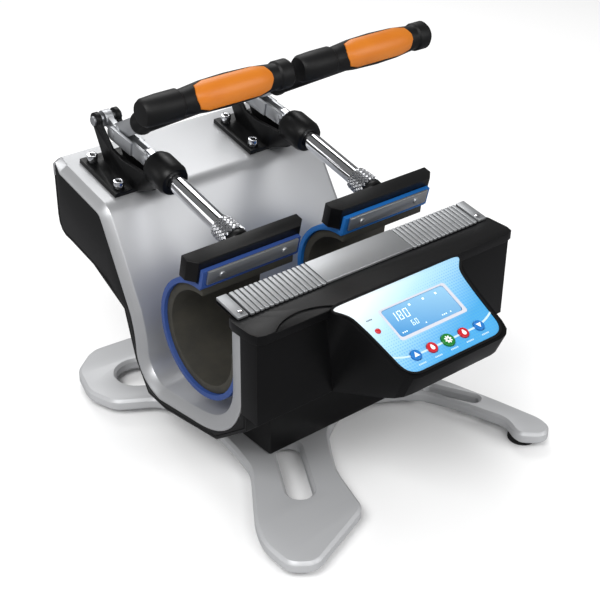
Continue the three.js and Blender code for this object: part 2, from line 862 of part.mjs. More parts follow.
function boxLid() {
  const outline = roundedOutline(rectangle([-lidHalfWidth, lidHalfWidth], [lidFrontY, lidRearY]), lidCorner);
  const lid = slabAlongZ(outline, [lidBottomZ, lidTopZ]);
  const scoopZ = [lidTopZ - scoopDepth, lidTopZ + overrun];
  const scoop = alongZ(scoopRadius, scoopZ, -scoopOffsetX, lidFrontY - scoopOffsetY, scoopSides);
  return cut(lid, scoop, ...barStudPlaces().map(([x, y]) => {
    return alongZ(barStudRadius + fitGap, [lidBottomZ - overrun, lidTopZ + overrun], x, y);
  }));
}

function barStudPlaces() {
  const studX = barHalfWidth - barStudInset;
  return [-studX, studX].map((x) => [x, lidRearY - barSeat * half]);
}

// Height of the ribbed bar's top at a distance behind its front edge
const barTopZ = (back) => barBottomZ + barFrontThickness + (barRise * back) / barDepth;

function ribbedBar() {
  const rearY = barFrontY + barDepth;
  const bar = slabAlongX(polygon([
    [barFrontY, barBottomZ],
    [lidRearY + overrun, barBottomZ],
    [rearY, barTopZ(barDepth) - barRearThickness],
    [rearY, barTopZ(barDepth)],
    [barFrontY, barTopZ(0)],
  ]), [-barHalfWidth, barHalfWidth]);
  const grooveSide = polygon([
    [barFrontY - overrun, barTopZ(-overrun) - ribGrooveDepth],
    [rearY + overrun, barTopZ(barDepth + overrun) - ribGrooveDepth],
    [rearY + overrun, barTopZ(barDepth) + barRise],
    [barFrontY - overrun, barTopZ(barDepth) + barRise],
  ]);
  const grooves = Array.from({ length: ribCount }, (unused, index) => {
    const left = barHalfWidth - barStudInset * both - index * ribPitch;
    return [-left - ribGroove, left].map((x) => slabAlongX(grooveSide, [x, x + ribGroove]));
  }).flat();
  const studs = barStudPlaces().flatMap(([x, y]) => {
    const top = barTopZ(y - barFrontY) + barStudHeadHeight;
    return [
      alongZ(barStudHeadRadius, [top - barFrontThickness, top], x, y),
      alongZ(barStudRadius, [lidBottomZ, top - barFrontThickness * half], x, y),
    ];
  });
  return join(cut(bar, ...grooves), ...studs);
}

// Control panel pieces, in the panel's frame

function controlPanel() {
  const plate = slabAlongZ(panelOutline(0), [fitGap - panelThickness, fitGap]);
  const through = [-panelThickness - overrun, overrun];
  const opening = rectangle([-screenHalfWidth, screenHalfWidth], [-screenFoot, -screenTop]);
  return cut(
    plate,
    slabAlongZ(roundedOutline(opening, screenCorner), through),
    ...buttonPlaces().map(({ x, y, radius }) => alongZ(radius + fitGap, through, x, y)),
    alongZ(lampRadius + fitGap, through, lampX, -lampRow),
  );
}

function screenWindow() {
  const halfWidth = screenHalfWidth - fitGap;
  const lens = rectangle([-halfWidth, halfWidth], [fitGap - screenFoot, -screenTop - fitGap]);
  const height = [boardThickness - boardDrop + fitGap, fitGap * half];
  return slabAlongZ(roundedOutline(lens, screenCorner), height);
}

// The board carries the relay and the transformer below it and the red heating lamp above it
function controlBoard() {
  const foot = [boardThickness * half - boardDrop - moduleHeight, boardThickness * half - boardDrop];
  const modules = [-1, 1].map((side) => {
    const x = side * moduleOffset;
    return block([x - moduleHalfWidth, x + moduleHalfWidth], [-moduleFoot, -moduleTop], foot);
  });
  const layer = [-boardDrop, boardThickness - boardDrop];
  return join(
    block([-boardHalfWidth, boardHalfWidth], [-boardFoot, -boardTop], layer),
    alongZ(lampRadius, [boardThickness * half - boardDrop, lampProud], lampX, -lampRow),
    ...modules,
  );
}

function button({ x, y, radius }) {
  const flangeTop = -podWall - fitGap;
  return join(
    alongZ(radius, [flangeTop - buttonFlangeHeight * half, buttonProud], x, y),
    alongZ(radius + buttonFlange, [flangeTop - buttonFlangeHeight, flangeTop], x, y),
    alongZ(
      radius * half,
      [boardThickness - boardDrop + buttonTravel + fitGap, flangeTop - buttonFlangeHeight * half],
      x,
      y,
    ),
  );
}

// Mains fittings on the rear and the module in the tank

function mainsInlet() {
  const y = casingRearY + fitGap;
  const z = [rearFittingZ - inletHalfHeight, rearFittingZ + inletHalfHeight];
  const x = [inletX - inletHalfWidth, inletX + inletHalfWidth];
  const grow = ([low, high], by) => [low - by, high + by];
  const housing = join(
    block(grow(x, rearFlangeMargin), [y, y + rearFlangeThickness], grow(z, rearFlangeMargin)),
    block(x, [y - inletDepth, y + rearFlangeThickness * half], z),
  );
  const floor = y + rearFlangeThickness - inletCavityDepth;
  const cavity = block(grow(x, -inletWall), [floor, y + rearFlangeThickness + overrun], grow(z, -inletWall));
  const blades = [-1, 0, 1].map((step) => {
    const bladeX = inletX + step * bladePitch;
    const bladeZ = rearFittingZ + (step === 0 ? 1 : -1) * bladeHalfWidth;
    return block(
      [bladeX - bladeHalfThickness, bladeX + bladeHalfThickness],
      [floor - overrun, floor + bladeLength],
      [bladeZ - bladeHalfWidth, bladeZ + bladeHalfWidth],
    );
  });
  return join(cut(housing, cavity), ...blades);
}

const rockerPivotY = casingRearY + fitGap + rearFlangeThickness - rockerPivotDepth;

function switchBezel() {
  const y = casingRearY + fitGap;
  const z = [rearFittingZ - switchHalfHeight, rearFittingZ + switchHalfHeight];
  const x = [switchX - switchHalfWidth, switchX + switchHalfWidth];
  const grow = ([low, high], by) => [low - by, high + by];
  const housing = join(
    block(grow(x, rearFlangeMargin), [y, y + rearFlangeThickness], grow(z, rearFlangeMargin)),
    block(x, [y - switchDepth, y + rearFlangeThickness * half], z),
  );
  const floor = y - switchDepth + switchWall;
  const depth = [floor, y + rearFlangeThickness + overrun];
  const cavity = block(grow(x, -switchWall), depth, grow(z, -switchWall));
  const axle = alongX(rockerAxleRadius, x, rockerPivotY, rearFittingZ);
  return join(cut(housing, cavity), axle);
}

function switchRocker() {
  const front = rockerPivotY + rockerProud + rearFlangeThickness;
  const profile = polygon([
    [rockerPivotY - rockerBack, rearFittingZ - rockerHalfHeight],
    [front, rearFittingZ - rockerHalfHeight],
    [front - rockerDip, rearFittingZ],
    [front, rearFittingZ + rockerHalfHeight],
    [rockerPivotY - rockerBack, rearFittingZ + rockerHalfHeight],
  ]);
  const width = switchHalfWidth - switchWall - fitGap;
  const rocker = slabAlongX(profile, [switchX - width, switchX + width]);
  const bore = [switchX - width - overrun, switchX + width + overrun];
  return cut(rocker, alongX(rockerAxleRadius + fitGap, bore, rockerPivotY, rearFittingZ));
}

// Toggle clamp pieces, in the toggle's frame with the rod pointing to -Y

const pivot = { y: pivotBack, z: -pivotDrop };
const crankPin = { y: pivotBack - crankReach, z: -pivotDrop - crankDrop };
const rodPin = { y: -rodPinForward, z: 0 };
const plateTop = plateThickness + fitGap - rodAxisHeight;
const stationSides = [['left', -stationX], ['right', stationX]];

function plateScrewPlaces() {
  const x = plateHalfWidth - plateScrewInset;
  const y = plateHalfDepth - plateScrewInset;
  return [[-x, -y], [x, -y], [-x, y], [x, y]];
}

function toggleBase() {
  const plate = block(
    [-plateHalfWidth, plateHalfWidth],
    [-plateHalfDepth, plateHalfDepth],
    [fitGap - rodAxisHeight, plateTop],
  );
  const earWaistShares = [0.3, -0.3];
  const cheek = polygon([
    [pivot.y + eyeRadius, pivot.z],
    [plateHalfDepth * earWaistShares[0] * 2, plateTop - plateThickness * half],
    [-plateHalfDepth, plateTop - plateThickness * half],
    [-collarRear - collarLength * half, -collarRadius],
    [-collarRear - collarLength * half, -eyeRadius],
    [-collarRear, -eyeRadius],
    [plateHalfDepth * earWaistShares[1], -eyeRadius * 2],
    [crankPin.y - eyeRadius, -eyeRadius * 2],
    [pivot.y - eyeRadius, pivot.z],
  ]);
  const ears = [-earOuter, earInner].map((x) => join(
    slabAlongX(cheek, [x, x + earThickness]),
    alongX(eyeRadius, [x, x + earThickness], pivot.y, pivot.z, roundSides),
  ));
  const gusset = slabAlongX(polygon([
    [-plateHalfDepth * half, plateTop - plateThickness * half],
    [-plateHalfDepth, plateTop - plateThickness * half],
    [-collarFront + collarNoseLength, -collarNoseRadius * half],
    [-collarRear, -collarNoseRadius * half],
  ]), [-earOuter, earOuter]);
  const collarProfile = [
    [rodRadius, -collarRear],
    [collarNoseRadius, -collarRear],
    [collarRadius, -collarRear - collarNoseLength],
    [collarRadius, collarNoseLength - collarFront],
    [collarNoseRadius, -collarFront],
    [rodRadius, -collarFront],
  ];
  const collar = new THREE.LatheGeometry(
    [...collarProfile, collarProfile[0]].reverse().map(([radius, y]) => new THREE.Vector2(radius, y)),
    roundSides,
  );
  const bore = alongY(rodRadius + fitGap, [-collarFront - overrun, -collarRear + overrun], 0, 0, roundSides);
  const pinBore = alongX(pinRadius + fitGap, [-earOuter - overrun, earOuter + overrun], pivot.y, pivot.z);
  const holes = plateScrewPlaces().map(([x, y]) => {
    return alongZ(plateScrewRadius + fitGap, [-rodAxisHeight - overrun, plateTop + overrun], x, y);
  });
  return cut(join(plate, ...ears, gusset, collar), bore, pinBore, ...holes);
}

function plateScrew([x, y]) {
  const seat = plateTop + fitGap;
  const top = seat + plateScrewHeadHeight;
  const socketFloor = top - plateScrewSocketDepth;
  const body = join(
    alongZ(plateScrewHeadRadius, [seat, top], x, y),
    alongZ(plateScrewRadius, [seat - plateScrewLength, socketFloor], x, y),
  );
  return cut(body, alongZ(plateScrewSocketRadius, [socketFloor, top + overrun], x, y, hexagonSides));
}

// A geometry drawn along -Y from the crank pin, turned up to the lever's line
function alongLever(geometry) {
  return geometry.rotateX(-leverRise).translate(0, crankPin.y, crankPin.z);
}

const halfLever = leverThickness * half;
const halfLeverBar = leverBarThickness * half;

function lever() {
  const across = [-halfLever, halfLever];
  const barAcross = [-halfLeverBar, halfLeverBar];
  const height = [-leverHeight * half, leverHeight * half];
  const bar = alongLever(block(barAcross, [-sleeveStart - sleevePocket, 0], height));
  const crankAngle = Math.atan2(crankDrop, crankReach);
  const crankLength = Math.hypot(crankDrop, crankReach);
  const armHeight = [-crankArmHeight * half, crankArmHeight * half];
  const crank = block(barAcross, [-crankLength, 0], armHeight);
  crank.rotateX(crankAngle).translate(0, pivot.y, pivot.z);
  const body = join(
    bar,
    crank,
    alongX(eyeRadius, across, pivot.y, pivot.z, roundSides),
    alongX(eyeRadius, across, crankPin.y, crankPin.z, roundSides),
  );
  const reach = [-halfLever - overrun, halfLever + overrun];
  const head = earOuter + fitGap;
  return join(
    cut(body, alongX(pinRadius + fitGap, reach, crankPin.y, crankPin.z)),
    alongX(pinRadius, [-head - pinHeadHeight, head + pinHeadHeight], pivot.y, pivot.z),
    alongX(pinHeadRadius, [-head - pinHeadHeight, -head], pivot.y, pivot.z),
    alongX(pinHeadRadius, [head, head + pinHeadHeight], pivot.y, pivot.z),
  );
}

function leverSleeve() {
  const end = leverLength - gripBoreRadius() - fitGap;
  const tube = join(
    alongY(sleeveRadius, [-end, -sleeveStart], 0, 0, roundSides),
    alongY(sleeveFlangeRadius, [-sleeveStart - sleeveFlangeLength, -sleeveStart], 0, 0, roundSides),
  );
  const pocket = block(
    [-halfLeverBar - fitGap, halfLeverBar + fitGap],
    [-sleeveStart - sleevePocket - fitGap, -sleeveStart + overrun],
    [-leverHeight * half - fitGap, leverHeight * half + fitGap],
  );
  const saddleWidth = [-sleeveRadius * both, sleeveRadius * both];
  const saddle = alongX(gripBoreRadius() + fitGap, saddleWidth, -leverLength, 0, roundSides);
  return alongLever(cut(tube, pocket, saddle));
}

// Radius of the grip where the sleeve's saddle meets it
function gripBoreRadius() {
  return gripMidRadius;
}

// Grip radius against X, as a lathe profile closed on its axis
function gripProfile(grow = 0) {
  const span = (stationSpacing - gripGap) * half;
  const left = gripOffset - span;
  const right = gripOffset + span;
  const groove = left + gripBulgeLength;
  const cap = right - gripCapLength;
  const middle = (groove + cap) * half;
  const rows = [
    [left, gripEndRadius],
    [left + gripGrooveWidth, gripBulgeRadius - gripGrooveWidth * half * half],
    [left + gripBulgeLength * half, gripBulgeRadius],
    [groove - gripGrooveWidth * half, gripBulgeRadius],
    [groove, gripNeckRadius],
    [groove + gripGrooveWidth, gripNeckRadius],
    [(groove + middle) * half, (gripNeckRadius + gripMidRadius * 3) * half * half],
    [middle, gripMidRadius],
    [(cap + middle) * half, (gripNeckRadius + gripMidRadius * 3) * half * half],
    [cap - gripGrooveWidth, gripNeckRadius],
    [cap, gripNeckRadius],
    [cap + gripGrooveWidth * half, gripBulgeRadius],
    [right - gripGrooveWidth, gripBulgeRadius],
    [right, gripEndRadius],
  ];
  return rows.map(([x, radius]) => new THREE.Vector2(radius + grow, x));
}

function gripBody(grow = 0) {
  const rows = gripProfile(grow);
  const closed = [new THREE.Vector2(0, rows[0].y), ...rows, new THREE.Vector2(0, rows[rows.length - 1].y)];
  return new THREE.LatheGeometry(closed, roundSides).rotateZ(-rightAngle);
}

// A block that bounds the inlay, long along X and pointing at the user
function inlayBounds(shrink) {
  const length = inlayLength * half - shrink;
  const height = inlayHalfHeight - shrink;
  const outline = roundedOutline(
    rectangle([inlayOffset - length, inlayOffset + length], [-height, height]),
    inlayHalfHeight,
  );
  const deep = gripMidRadius * both;
  return slabAlongZ(outline, [shrink, deep]).rotateX(rightAngle - inlayAim);
}

function toGripAxis(geometry) {
  const y = crankPin.y - Math.cos(leverRise) * leverLength;
  const z = crankPin.z + Math.sin(leverRise) * leverLength;
  return geometry.translate(0, y, z);
}

function grip() {
  const floor = gripBody(-inlayDepth);
  const pocket = cut(overlap(gripBody(inlayProud * both), inlayBounds(0)), floor);
  return toGripAxis(cut(gripBody(), pocket));
}

function gripInlay() {
  const skin = cut(overlap(gripBody(inlayProud), inlayBounds(fitGap)), gripBody(fitGap - inlayDepth));
  return toGripAxis(skin);
}

function link() {
  const outer = linkInner + linkThickness;
  const run = { y: rodPin.y - crankPin.y, z: rodPin.z - crankPin.z };
  const length = Math.hypot(run.y, run.z);
  const angle = Math.atan2(-run.z, -run.y);
  const turned = (geometry) => geometry.rotateX(angle).translate(0, crankPin.y, crankPin.z);
  const height = [-linkHeight * half, linkHeight * half];
  const cheeks = [-1, 1].flatMap((side) => {
    const wide = [side * linkInner, side * outer].sort(ascending);
    const narrow = [side * linkNeckInner, side * (linkNeckInner + linkThickness)].sort(ascending);
    return [
      turned(block(wide, [-linkNeckStart - linkNeckOverlap, 0], height)),
      turned(block(narrow, [-length, -linkNeckStart], height)),
      alongX(linkHeight * half, wide, crankPin.y, crankPin.z, roundSides),
      alongX(linkHeight * half, narrow, rodPin.y, rodPin.z, roundSides),
    ];
  });
  const bridge = turned(block(
    [-outer, outer],
    [-linkBridgeStart - linkBridgeLength, -linkBridgeStart],
    [height[0], height[0] + linkThickness],
  ));
  const pin = alongX(pinRadius, [-outer, outer], crankPin.y, crankPin.z);
  const bosses = [-outer, outer].map((x) => {
    return alongX(linkBossRadius, [x - linkBossProud, x + linkBossProud], crankPin.y, crankPin.z);
  });
  const heads = [-1, 1].map((side) => {
    const reach = [side * (linkNeckInner + linkThickness * half), side * (outer + linkBossProud)];
    return alongX(linkBossRadius, reach.sort(ascending), rodPin.y, rodPin.z, hexagonSides);
  });
  return join(...cheeks, bridge, pin, ...bosses, ...heads);
}

function plunger() {
  const tail = rodPin.y + eyeRadius;
  const rod = alongY(rodRadius, [-rodFront, tail], 0, 0, roundSides);
  const beside = rodRadius + overrun;
  const halfTongue = rodTongueThickness * half;
  const flats = [[-beside, -halfTongue], [halfTongue, beside]].map((x) => {
    return block(x, [-rodFlatFront, tail + overrun], [-beside, beside]);
  });
  const stud = alongY(studRadius, [-clampRear - studInBar, -rodFront + overrun], 0, 0);
  return join(cut(rod, ...flats), stud);
}

function knurledAdjuster() {
  const outline = new THREE.Shape();
  for (let tooth = 0; tooth < knurlCount * both; tooth += 1) {
    const angle = (tooth / knurlCount) * Math.PI;
    const radius = tooth % 2 === 0 ? knurlRadius : knurlRadius - knurlDepth;
    const place = [radius * Math.cos(angle), radius * Math.sin(angle)];
    if (tooth === 0) {
      outline.moveTo(...place);
    } else {
      outline.lineTo(...place);
    }
  }
  outline.closePath();
  const wheel = slabAlongZ(outline, [knurlRear, knurlRear + knurlLength]).rotateX(rightAngle);
  return cut(wheel, alongY(studRadius + fitGap, [-lockRingRear - overrun, -rodFront + overrun], 0, 0));
}

function lockRing() {
  const ring = alongY(lockRingRadius, [-lockRingRear - lockRingLength, -lockRingRear], 0, 0, roundSides);
  return cut(ring, alongY(studRadius + fitGap, [-clampRear - overrun, -lockRingRear + overrun], 0, 0));
}

function rivetPlaces() {
  return [rivetInset - stripHalfWidth, stripHalfWidth - rivetInset];
}

const clampStripMidZ = (matFlapTop - clampBottom) * half;

function clampBar() {
  const outline = polygon([
    [-clampHalfWidth, -clampRear],
    [clampHalfWidth, -clampRear],
    [clampHalfWidth, clampChamfer - clampFront],
    [clampHalfWidth - clampChamfer, -clampFront],
    [clampChamfer - clampHalfWidth, -clampFront],
    [-clampHalfWidth, clampChamfer - clampFront],
  ].reverse());
  const bar = slabAlongZ(outline, [-clampBottom, clampTop]);
  const studDepth = [-clampRear - studInBar - fitGap, -clampRear + overrun];
  const studHole = alongY(studRadius + fitGap, studDepth, 0, 0);
  const screwHoles = rivetPlaces().map((x) => {
    const reach = [-clampFront - overrun, fitGap + rivetDepth - clampFront];
    return alongY(rivetRadius + fitGap, reach, x, clampStripMidZ);
  });
  return cut(bar, studHole, ...screwHoles);
}

const clampStripRear = clampFront + fitGap + matFlapThickness + fitGap;

function clampStrip() {
  const strip = block(
    [-stripHalfWidth, stripHalfWidth],
    [-clampStripRear - stripThickness, -clampStripRear],
    [-clampBottom, matFlapTop],
  );
  const headFront = -clampStripRear - stripThickness - rivetHeadHeight;
  const headRear = -clampStripRear - stripThickness * half;
  const rivets = rivetPlaces().flatMap((x) => [
    alongY(rivetHeadRadius, [headFront, headRear], x, clampStripMidZ),
    alongY(rivetRadius, [headRear, rivetDepth - clampFront], x, clampStripMidZ),
  ]);
  return join(strip, ...rivets);
}

// Heater mat, its liner and the strip on the front wall

const frontStripTopZ = frontWallTopZ - frontStripDrop;
const frontStripMidZ = frontStripTopZ - frontStripHeight * half;
const frontStripY = frontWallY + fitGap + matThickness + fitGap;

// Points of an arc round the mug's axis, drawn in Y and Z
function mugArc(radius, startAngle, endAngle) {
  return Array.from({ length: matArcSteps + 1 }, (unused, step) => {
    const angle = THREE.MathUtils.lerp(startAngle, endAngle, step / matArcSteps);
    return [mugAxisY + radius * Math.cos(angle), mugAxisZ + radius * Math.sin(angle)];
  });
}

function matSolid(x) {
  const end = matTopAngle + fullTurn;
  const outline = polygon([
    [mugAxisY - matOuterRadius, frontStripTopZ],
    ...mugArc(matOuterRadius, Math.PI, end),
    ...mugArc(matInnerRadius, Math.PI, end).reverse(),
    [mugAxisY - matInnerRadius, frontStripTopZ],
  ]);
  const across = [x - matHalfWidth, x + matHalfWidth];
  const band = slabAlongX(outline, across);
  const flap = inToggleFrame(block(
    [-matHalfWidth, matHalfWidth],
    [-clampFront - fitGap - matFlapThickness, -clampFront - fitGap],
    [-clampBottom - matThickness, matFlapTop],
  ), x);
  const heelY = mugAxisY + matInnerRadius * Math.cos(matTopAngle);
  const trimWidth = [across[0] - overrun, across[1] + overrun];
  const trim = alongX(matInnerRadius, trimWidth, mugAxisY, mugAxisZ, matTrimSides);
  const keep = block(across, [heelY - matOuterRadius, mugAxisY + matOuterRadius], [0, deckRearZ]);
  const clampHoles = rivetPlaces().map((place) => inToggleFrame(
    alongY(rivetRadius + fitGap, [-clampStripRear - overrun, overrun - clampFront], place, clampStripMidZ),
    x,
  ));
  const wallHoles = rivetPlaces().map((place) => alongY(
    rivetRadius + fitGap,
    [frontWallY - overrun, frontStripY + overrun],
    x + place,
    frontStripMidZ,
  ));
  return cut(join(band, cut(overlap(flap, keep), trim)), ...clampHoles, ...wallHoles);
}

const linerInset = 3;
const linerStartAngle = 172 * degree;

function linerSolid(x) {
  const end = matTopAngle + fullTurn - fitGap / mugRadius;
  const outline = polygon([
    ...mugArc(linerOuterRadius, linerStartAngle, end),
    ...mugArc(mugRadius, linerStartAngle, end).reverse(),
  ]);
  return slabAlongX(outline, [x - matHalfWidth + linerInset, x + matHalfWidth - linerInset]);
}

function frontStrip(x) {
  const y = [frontStripY, frontStripY + stripThickness];
  const middle = frontStripY + stripThickness * half;
  const rivets = rivetPlaces().flatMap((place) => [
    alongY(rivetHeadRadius, [middle, y[1] + rivetHeadHeight], x + place, frontStripMidZ),
    alongY(rivetRadius, [frontWallY - rivetDepth, middle], x + place, frontStripMidZ),
  ]);
  const strip = block(
    [x - stripHalfWidth, x + stripHalfWidth],
    y,
    [frontStripTopZ - frontStripHeight, frontStripTopZ],
  );
  return join(strip, ...rivets);
}

// Assembly

function bodyPieces() {
  const group = new THREE.Group();
  group.add(
    piece('base_plate', basePlate(), satinSilver),
    ...padShares.map((place, index) => piece(`foot_pad_${index + 1}`, footPad(onFoot(place)), blackRubber)),
    piece('support_column', supportColumn(), blackCasing),
    piece('trough_shell', troughShell(), satinSilver),
    piece('rear_casing', rearCasing(), blackCasing),
    piece('side_cover_left', sideCover(-1), blackCasing),
    piece('side_cover_right', sideCover(1), blackCasing),
    piece('control_box', controlBox(), blackBox),
    piece('box_lid', boxLid(), blackBox),
    piece('ribbed_bar', ribbedBar(), satinSteel),
    piece('mains_inlet', mainsInlet(), blackBox),
    piece('switch_bezel', switchBezel(), blackBox),
    piece('switch_rocker', switchRocker(), buttonRed),
  );
  return group;
}

function panelPieces() {
  const group = new THREE.Group();
  const colors = [buttonBlue, buttonRed, buttonGreen, buttonRed, buttonBlue];
  group.applyMatrix4(panelMatrix);
  group.add(
    piece('control_panel', controlPanel(), panelBlue),
    piece('screen', screenWindow(), screenBlue),
    piece('control_board', controlBoard(), boardGreen),
    ...buttonPlaces().map((place, index) => piece(`button_${index + 1}`, button(place), colors[index])),
  );
  return group;
}

function stationPieces(side, x) {
  const group = new THREE.Group();
  const toggle = new THREE.Group();
  const name = (word) => `${word}_${side}`;
  toggle.applyMatrix4(new THREE.Matrix4().makeTranslation(x, 0, 0).multiply(toggleMatrix));
  toggle.add(
    piece(name('toggle_base'), toggleBase(), blackCast),
    piece(name('lever'), lever(), satinSteel),
    piece(name('lever_sleeve'), leverSleeve(), blackRubber),
    piece(name('grip'), grip(), blackRubber),
    piece(name('grip_inlay'), gripInlay(), orangeGrip),
    piece(name('link'), link(), satinSteel),
    piece(name('plunger'), plunger(), chrome),
    piece(name('adjuster'), knurledAdjuster(), chrome),
    piece(name('lock_ring'), lockRing(), blackCast),
    piece(name('clamp_bar'), clampBar(), blackCast),
    piece(name('clamp_strip'), clampStrip(), satinSteel),
    ...plateScrewPlaces().map((place, index) => {
      return piece(name(`plate_screw_${index + 1}`), plateScrew(place), chrome);
    }),
  );
  group.add(
    toggle,
    piece(name('heater_mat'), matSolid(x), blueSilicone),
    piece(name('mat_liner'), linerSolid(x), darkLiner),
    piece(name('front_strip'), frontStrip(x), satinSteel),
  );
  return group;
}

const press = new THREE.Group();
press.add(bodyPieces(), panelPieces(), ...stationSides.map(([side, x]) => stationPieces(side, x)));
press.updateMatrixWorld(true);

// The origin is at the middle of the footprint's box, on the surface that the pads rest on
const extent = new THREE.Box3().setFromObject(press, true);
press.position.set(
  -(extent.min.x + extent.max.x) * half,
  -(extent.min.y + extent.max.y) * half,
  -extent.min.z,
);

export default press;
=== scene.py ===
import json
import math

import bmesh
import bpy
from mathutils import Matrix, Vector


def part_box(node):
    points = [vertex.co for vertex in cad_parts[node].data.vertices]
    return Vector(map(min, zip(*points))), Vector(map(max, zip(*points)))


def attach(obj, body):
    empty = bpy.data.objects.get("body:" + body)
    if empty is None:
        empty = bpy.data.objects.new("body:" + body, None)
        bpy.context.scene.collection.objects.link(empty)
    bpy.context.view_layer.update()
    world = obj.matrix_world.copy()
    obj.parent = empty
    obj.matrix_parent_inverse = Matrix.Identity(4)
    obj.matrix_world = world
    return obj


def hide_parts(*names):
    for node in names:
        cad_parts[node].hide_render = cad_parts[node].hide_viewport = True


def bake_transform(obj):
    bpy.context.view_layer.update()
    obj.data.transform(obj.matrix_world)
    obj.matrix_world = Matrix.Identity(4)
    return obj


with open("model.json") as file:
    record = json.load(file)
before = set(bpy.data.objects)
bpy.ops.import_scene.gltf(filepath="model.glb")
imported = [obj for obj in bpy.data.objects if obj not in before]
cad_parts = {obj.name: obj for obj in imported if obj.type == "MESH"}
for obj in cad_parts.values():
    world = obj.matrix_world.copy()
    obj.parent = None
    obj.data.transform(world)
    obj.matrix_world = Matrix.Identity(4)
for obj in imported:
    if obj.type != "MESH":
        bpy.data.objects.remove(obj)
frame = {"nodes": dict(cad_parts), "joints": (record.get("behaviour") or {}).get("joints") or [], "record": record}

bl_info = {
    "name": "Mug press",
    "version": (1, 0, 0),
    "blender": (4, 5, 0),
    "location": "View3D > Sidebar > Mug press",
    "description": "Builds the finished surfaces of a twin-station mug heat press on its packed solids",
    "category": "Object",
}

MM = 0.001
SIDES = ("left", "right")
NODES = frame["nodes"]
BODY_OF = {
    node: body
    for body, members in frame["record"]["behaviour"]["bodies"].items()
    for node in members
}
JOINTS = {joint["name"]: joint for joint in frame["joints"]}
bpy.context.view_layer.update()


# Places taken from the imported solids. Every size below is in millimetres, unless it says otherwise

def box_middle(node):
    low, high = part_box(node)
    return (low + high) / 2


def box_within(node, matrix):
    """A node's box in the frame of the matrix."""
    inverse = matrix.inverted()
    places = [inverse @ vertex.co for vertex in NODES[node].data.vertices]
    return tuple(Vector(pick(place[axis] for place in places) for axis in range(3)) for pick in (min, max))


def moved(x, y, z):
    """A move in millimetres."""
    return Matrix.Translation(Vector((x, y, z)) * MM)


def station_x(side):
    return box_middle(f"heater_mat_{side}").x


CASING_REAR_Y = 234
TILT = math.radians(13)
PANEL_TILT = math.radians(23.4)
PANEL_TOP = (0, -91.6, 195.5)
LEVER_PIVOT = (0, 38, -1)
SHIFT = Matrix.Translation((
    (station_x("left") + station_x("right")) / 2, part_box("rear_casing")[1].y - CASING_REAR_Y * MM, 0,
))
# The control panel's frame: X to the right, Y up the slope and Z out of it
PANEL = SHIFT @ moved(*PANEL_TOP) @ Matrix.Rotation(PANEL_TILT, 4, "X")
UNMOVED = Matrix()
# Turns that take the X axis up and along Y
UPRIGHT = Matrix.Rotation(-math.pi / 2, 4, "Y")
ALONG_Y = Matrix.Rotation(math.pi / 2, 4, "Z")


def toggle_matrix(side):
    """The toggle's frame: the rod lies along -Y through its origin."""
    turn = Matrix.Rotation(TILT, 4, "X")
    origin = Vector(JOINTS[f"lever_{side}_swing"]["pos_m"]) - turn @ (Vector(LEVER_PIVOT) * MM)
    origin.x = station_x(side)
    return Matrix.Translation(origin) @ turn


# Colours and materials

def linear(hex_colour):
    """An sRGB hex colour as linear RGBA."""
    parts = [int(hex_colour[i:i + 2], 16) / 255 for i in (1, 3, 5)]
    return tuple(c / 12.92 if c <= 0.04045 else ((c + 0.055) / 1.055) ** 2.4 for c in parts) + (1.0,)


def fill(node, inputs):
    """Fills a node's inputs from values, from sockets, or from the first output of other nodes."""
    for key, value in inputs.items():
        if isinstance(value, bpy.types.Node):
            value = next(socket for socket in value.outputs if socket.enabled)
        if isinstance(value, bpy.types.NodeSocket):
            node.id_data.links.new(value, node.inputs[key])
        else:
            node.inputs[key].default_value = value


def add_node(tree, kind, inputs=(), **settings):
    """Adds a node, sets its properties and fills its inputs."""
    node = tree.nodes.new(kind)
    for name, value in settings.items():
        setattr(node, name, value)
    fill(node, dict(inputs))
    return node


def shader_of(material):
    return material.node_tree.nodes["Principled BSDF"]


def new_material(name, colour, metallic, roughness, sockets=()):
    """A principled material with plain values on the shader's own sockets."""
    material = bpy.data.materials.new(name)
    material.use_nodes = True
    fill(shader_of(material), {
        "Base Color": colour, "Metallic": metallic, "Roughness": roughness, **dict(sockets),
    })
    return material


def mix_colour(material, factor, first, second):
    """Takes the material's colour from the first to the second as the factor rises."""
    mix = add_node(material.node_tree, "ShaderNodeMix", {
        "Factor": factor, "A": first, "B": second,
    }, data_type="RGBA")
    fill(shader_of(material), {"Base Color": mix})


def noise_over(tree, size, detail, roughness, stretch=(1, 1, 1)):
    """Noise of a real size, finer across each axis by a stretch."""
    place = add_node(tree, "ShaderNodeTexCoord")
    scaled = add_node(tree, "ShaderNodeMapping", {"Vector": place.outputs["Object"], "Scale": stretch})
    return add_node(tree, "ShaderNodeTexNoise", {
        "Vector": scaled, "Scale": 1 / (size * MM), "Detail": detail, "Roughness": roughness,
    })


def grain(material, size, spread, bump, stretch=(1, 1, 1)):
    """Noise that varies the material's roughness and raises its surface a little."""
    tree, shader = material.node_tree, shader_of(material)
    roughness = shader.inputs["Roughness"].default_value
    noise = noise_over(tree, size, 3.0, 0.55, stretch)
    span = add_node(tree, "ShaderNodeMapRange", {
        "Value": noise, "To Min": roughness - spread, "To Max": roughness + spread,
    })
    relief = add_node(tree, "ShaderNodeBump", {"Height": noise, "Strength": 0.5, "Distance": bump * MM})
    fill(shader, {"Roughness": span, "Normal": relief})
    return material


def tinted(material, size, dark, light):
    """A slow drift of the material's colour over its surface."""
    mix_colour(material, noise_over(material.node_tree, size, 2.0, 0.5), dark, light)
    return material


def silver_powder_coat(name, colour, metallic):
    # Metallic silver powder coat, sprayed and baked: soft broad highlights with a fine orange peel
    return grain(new_material(name, colour, metallic, 0.4), size=1.4, spread=0.04, bump=0.03)


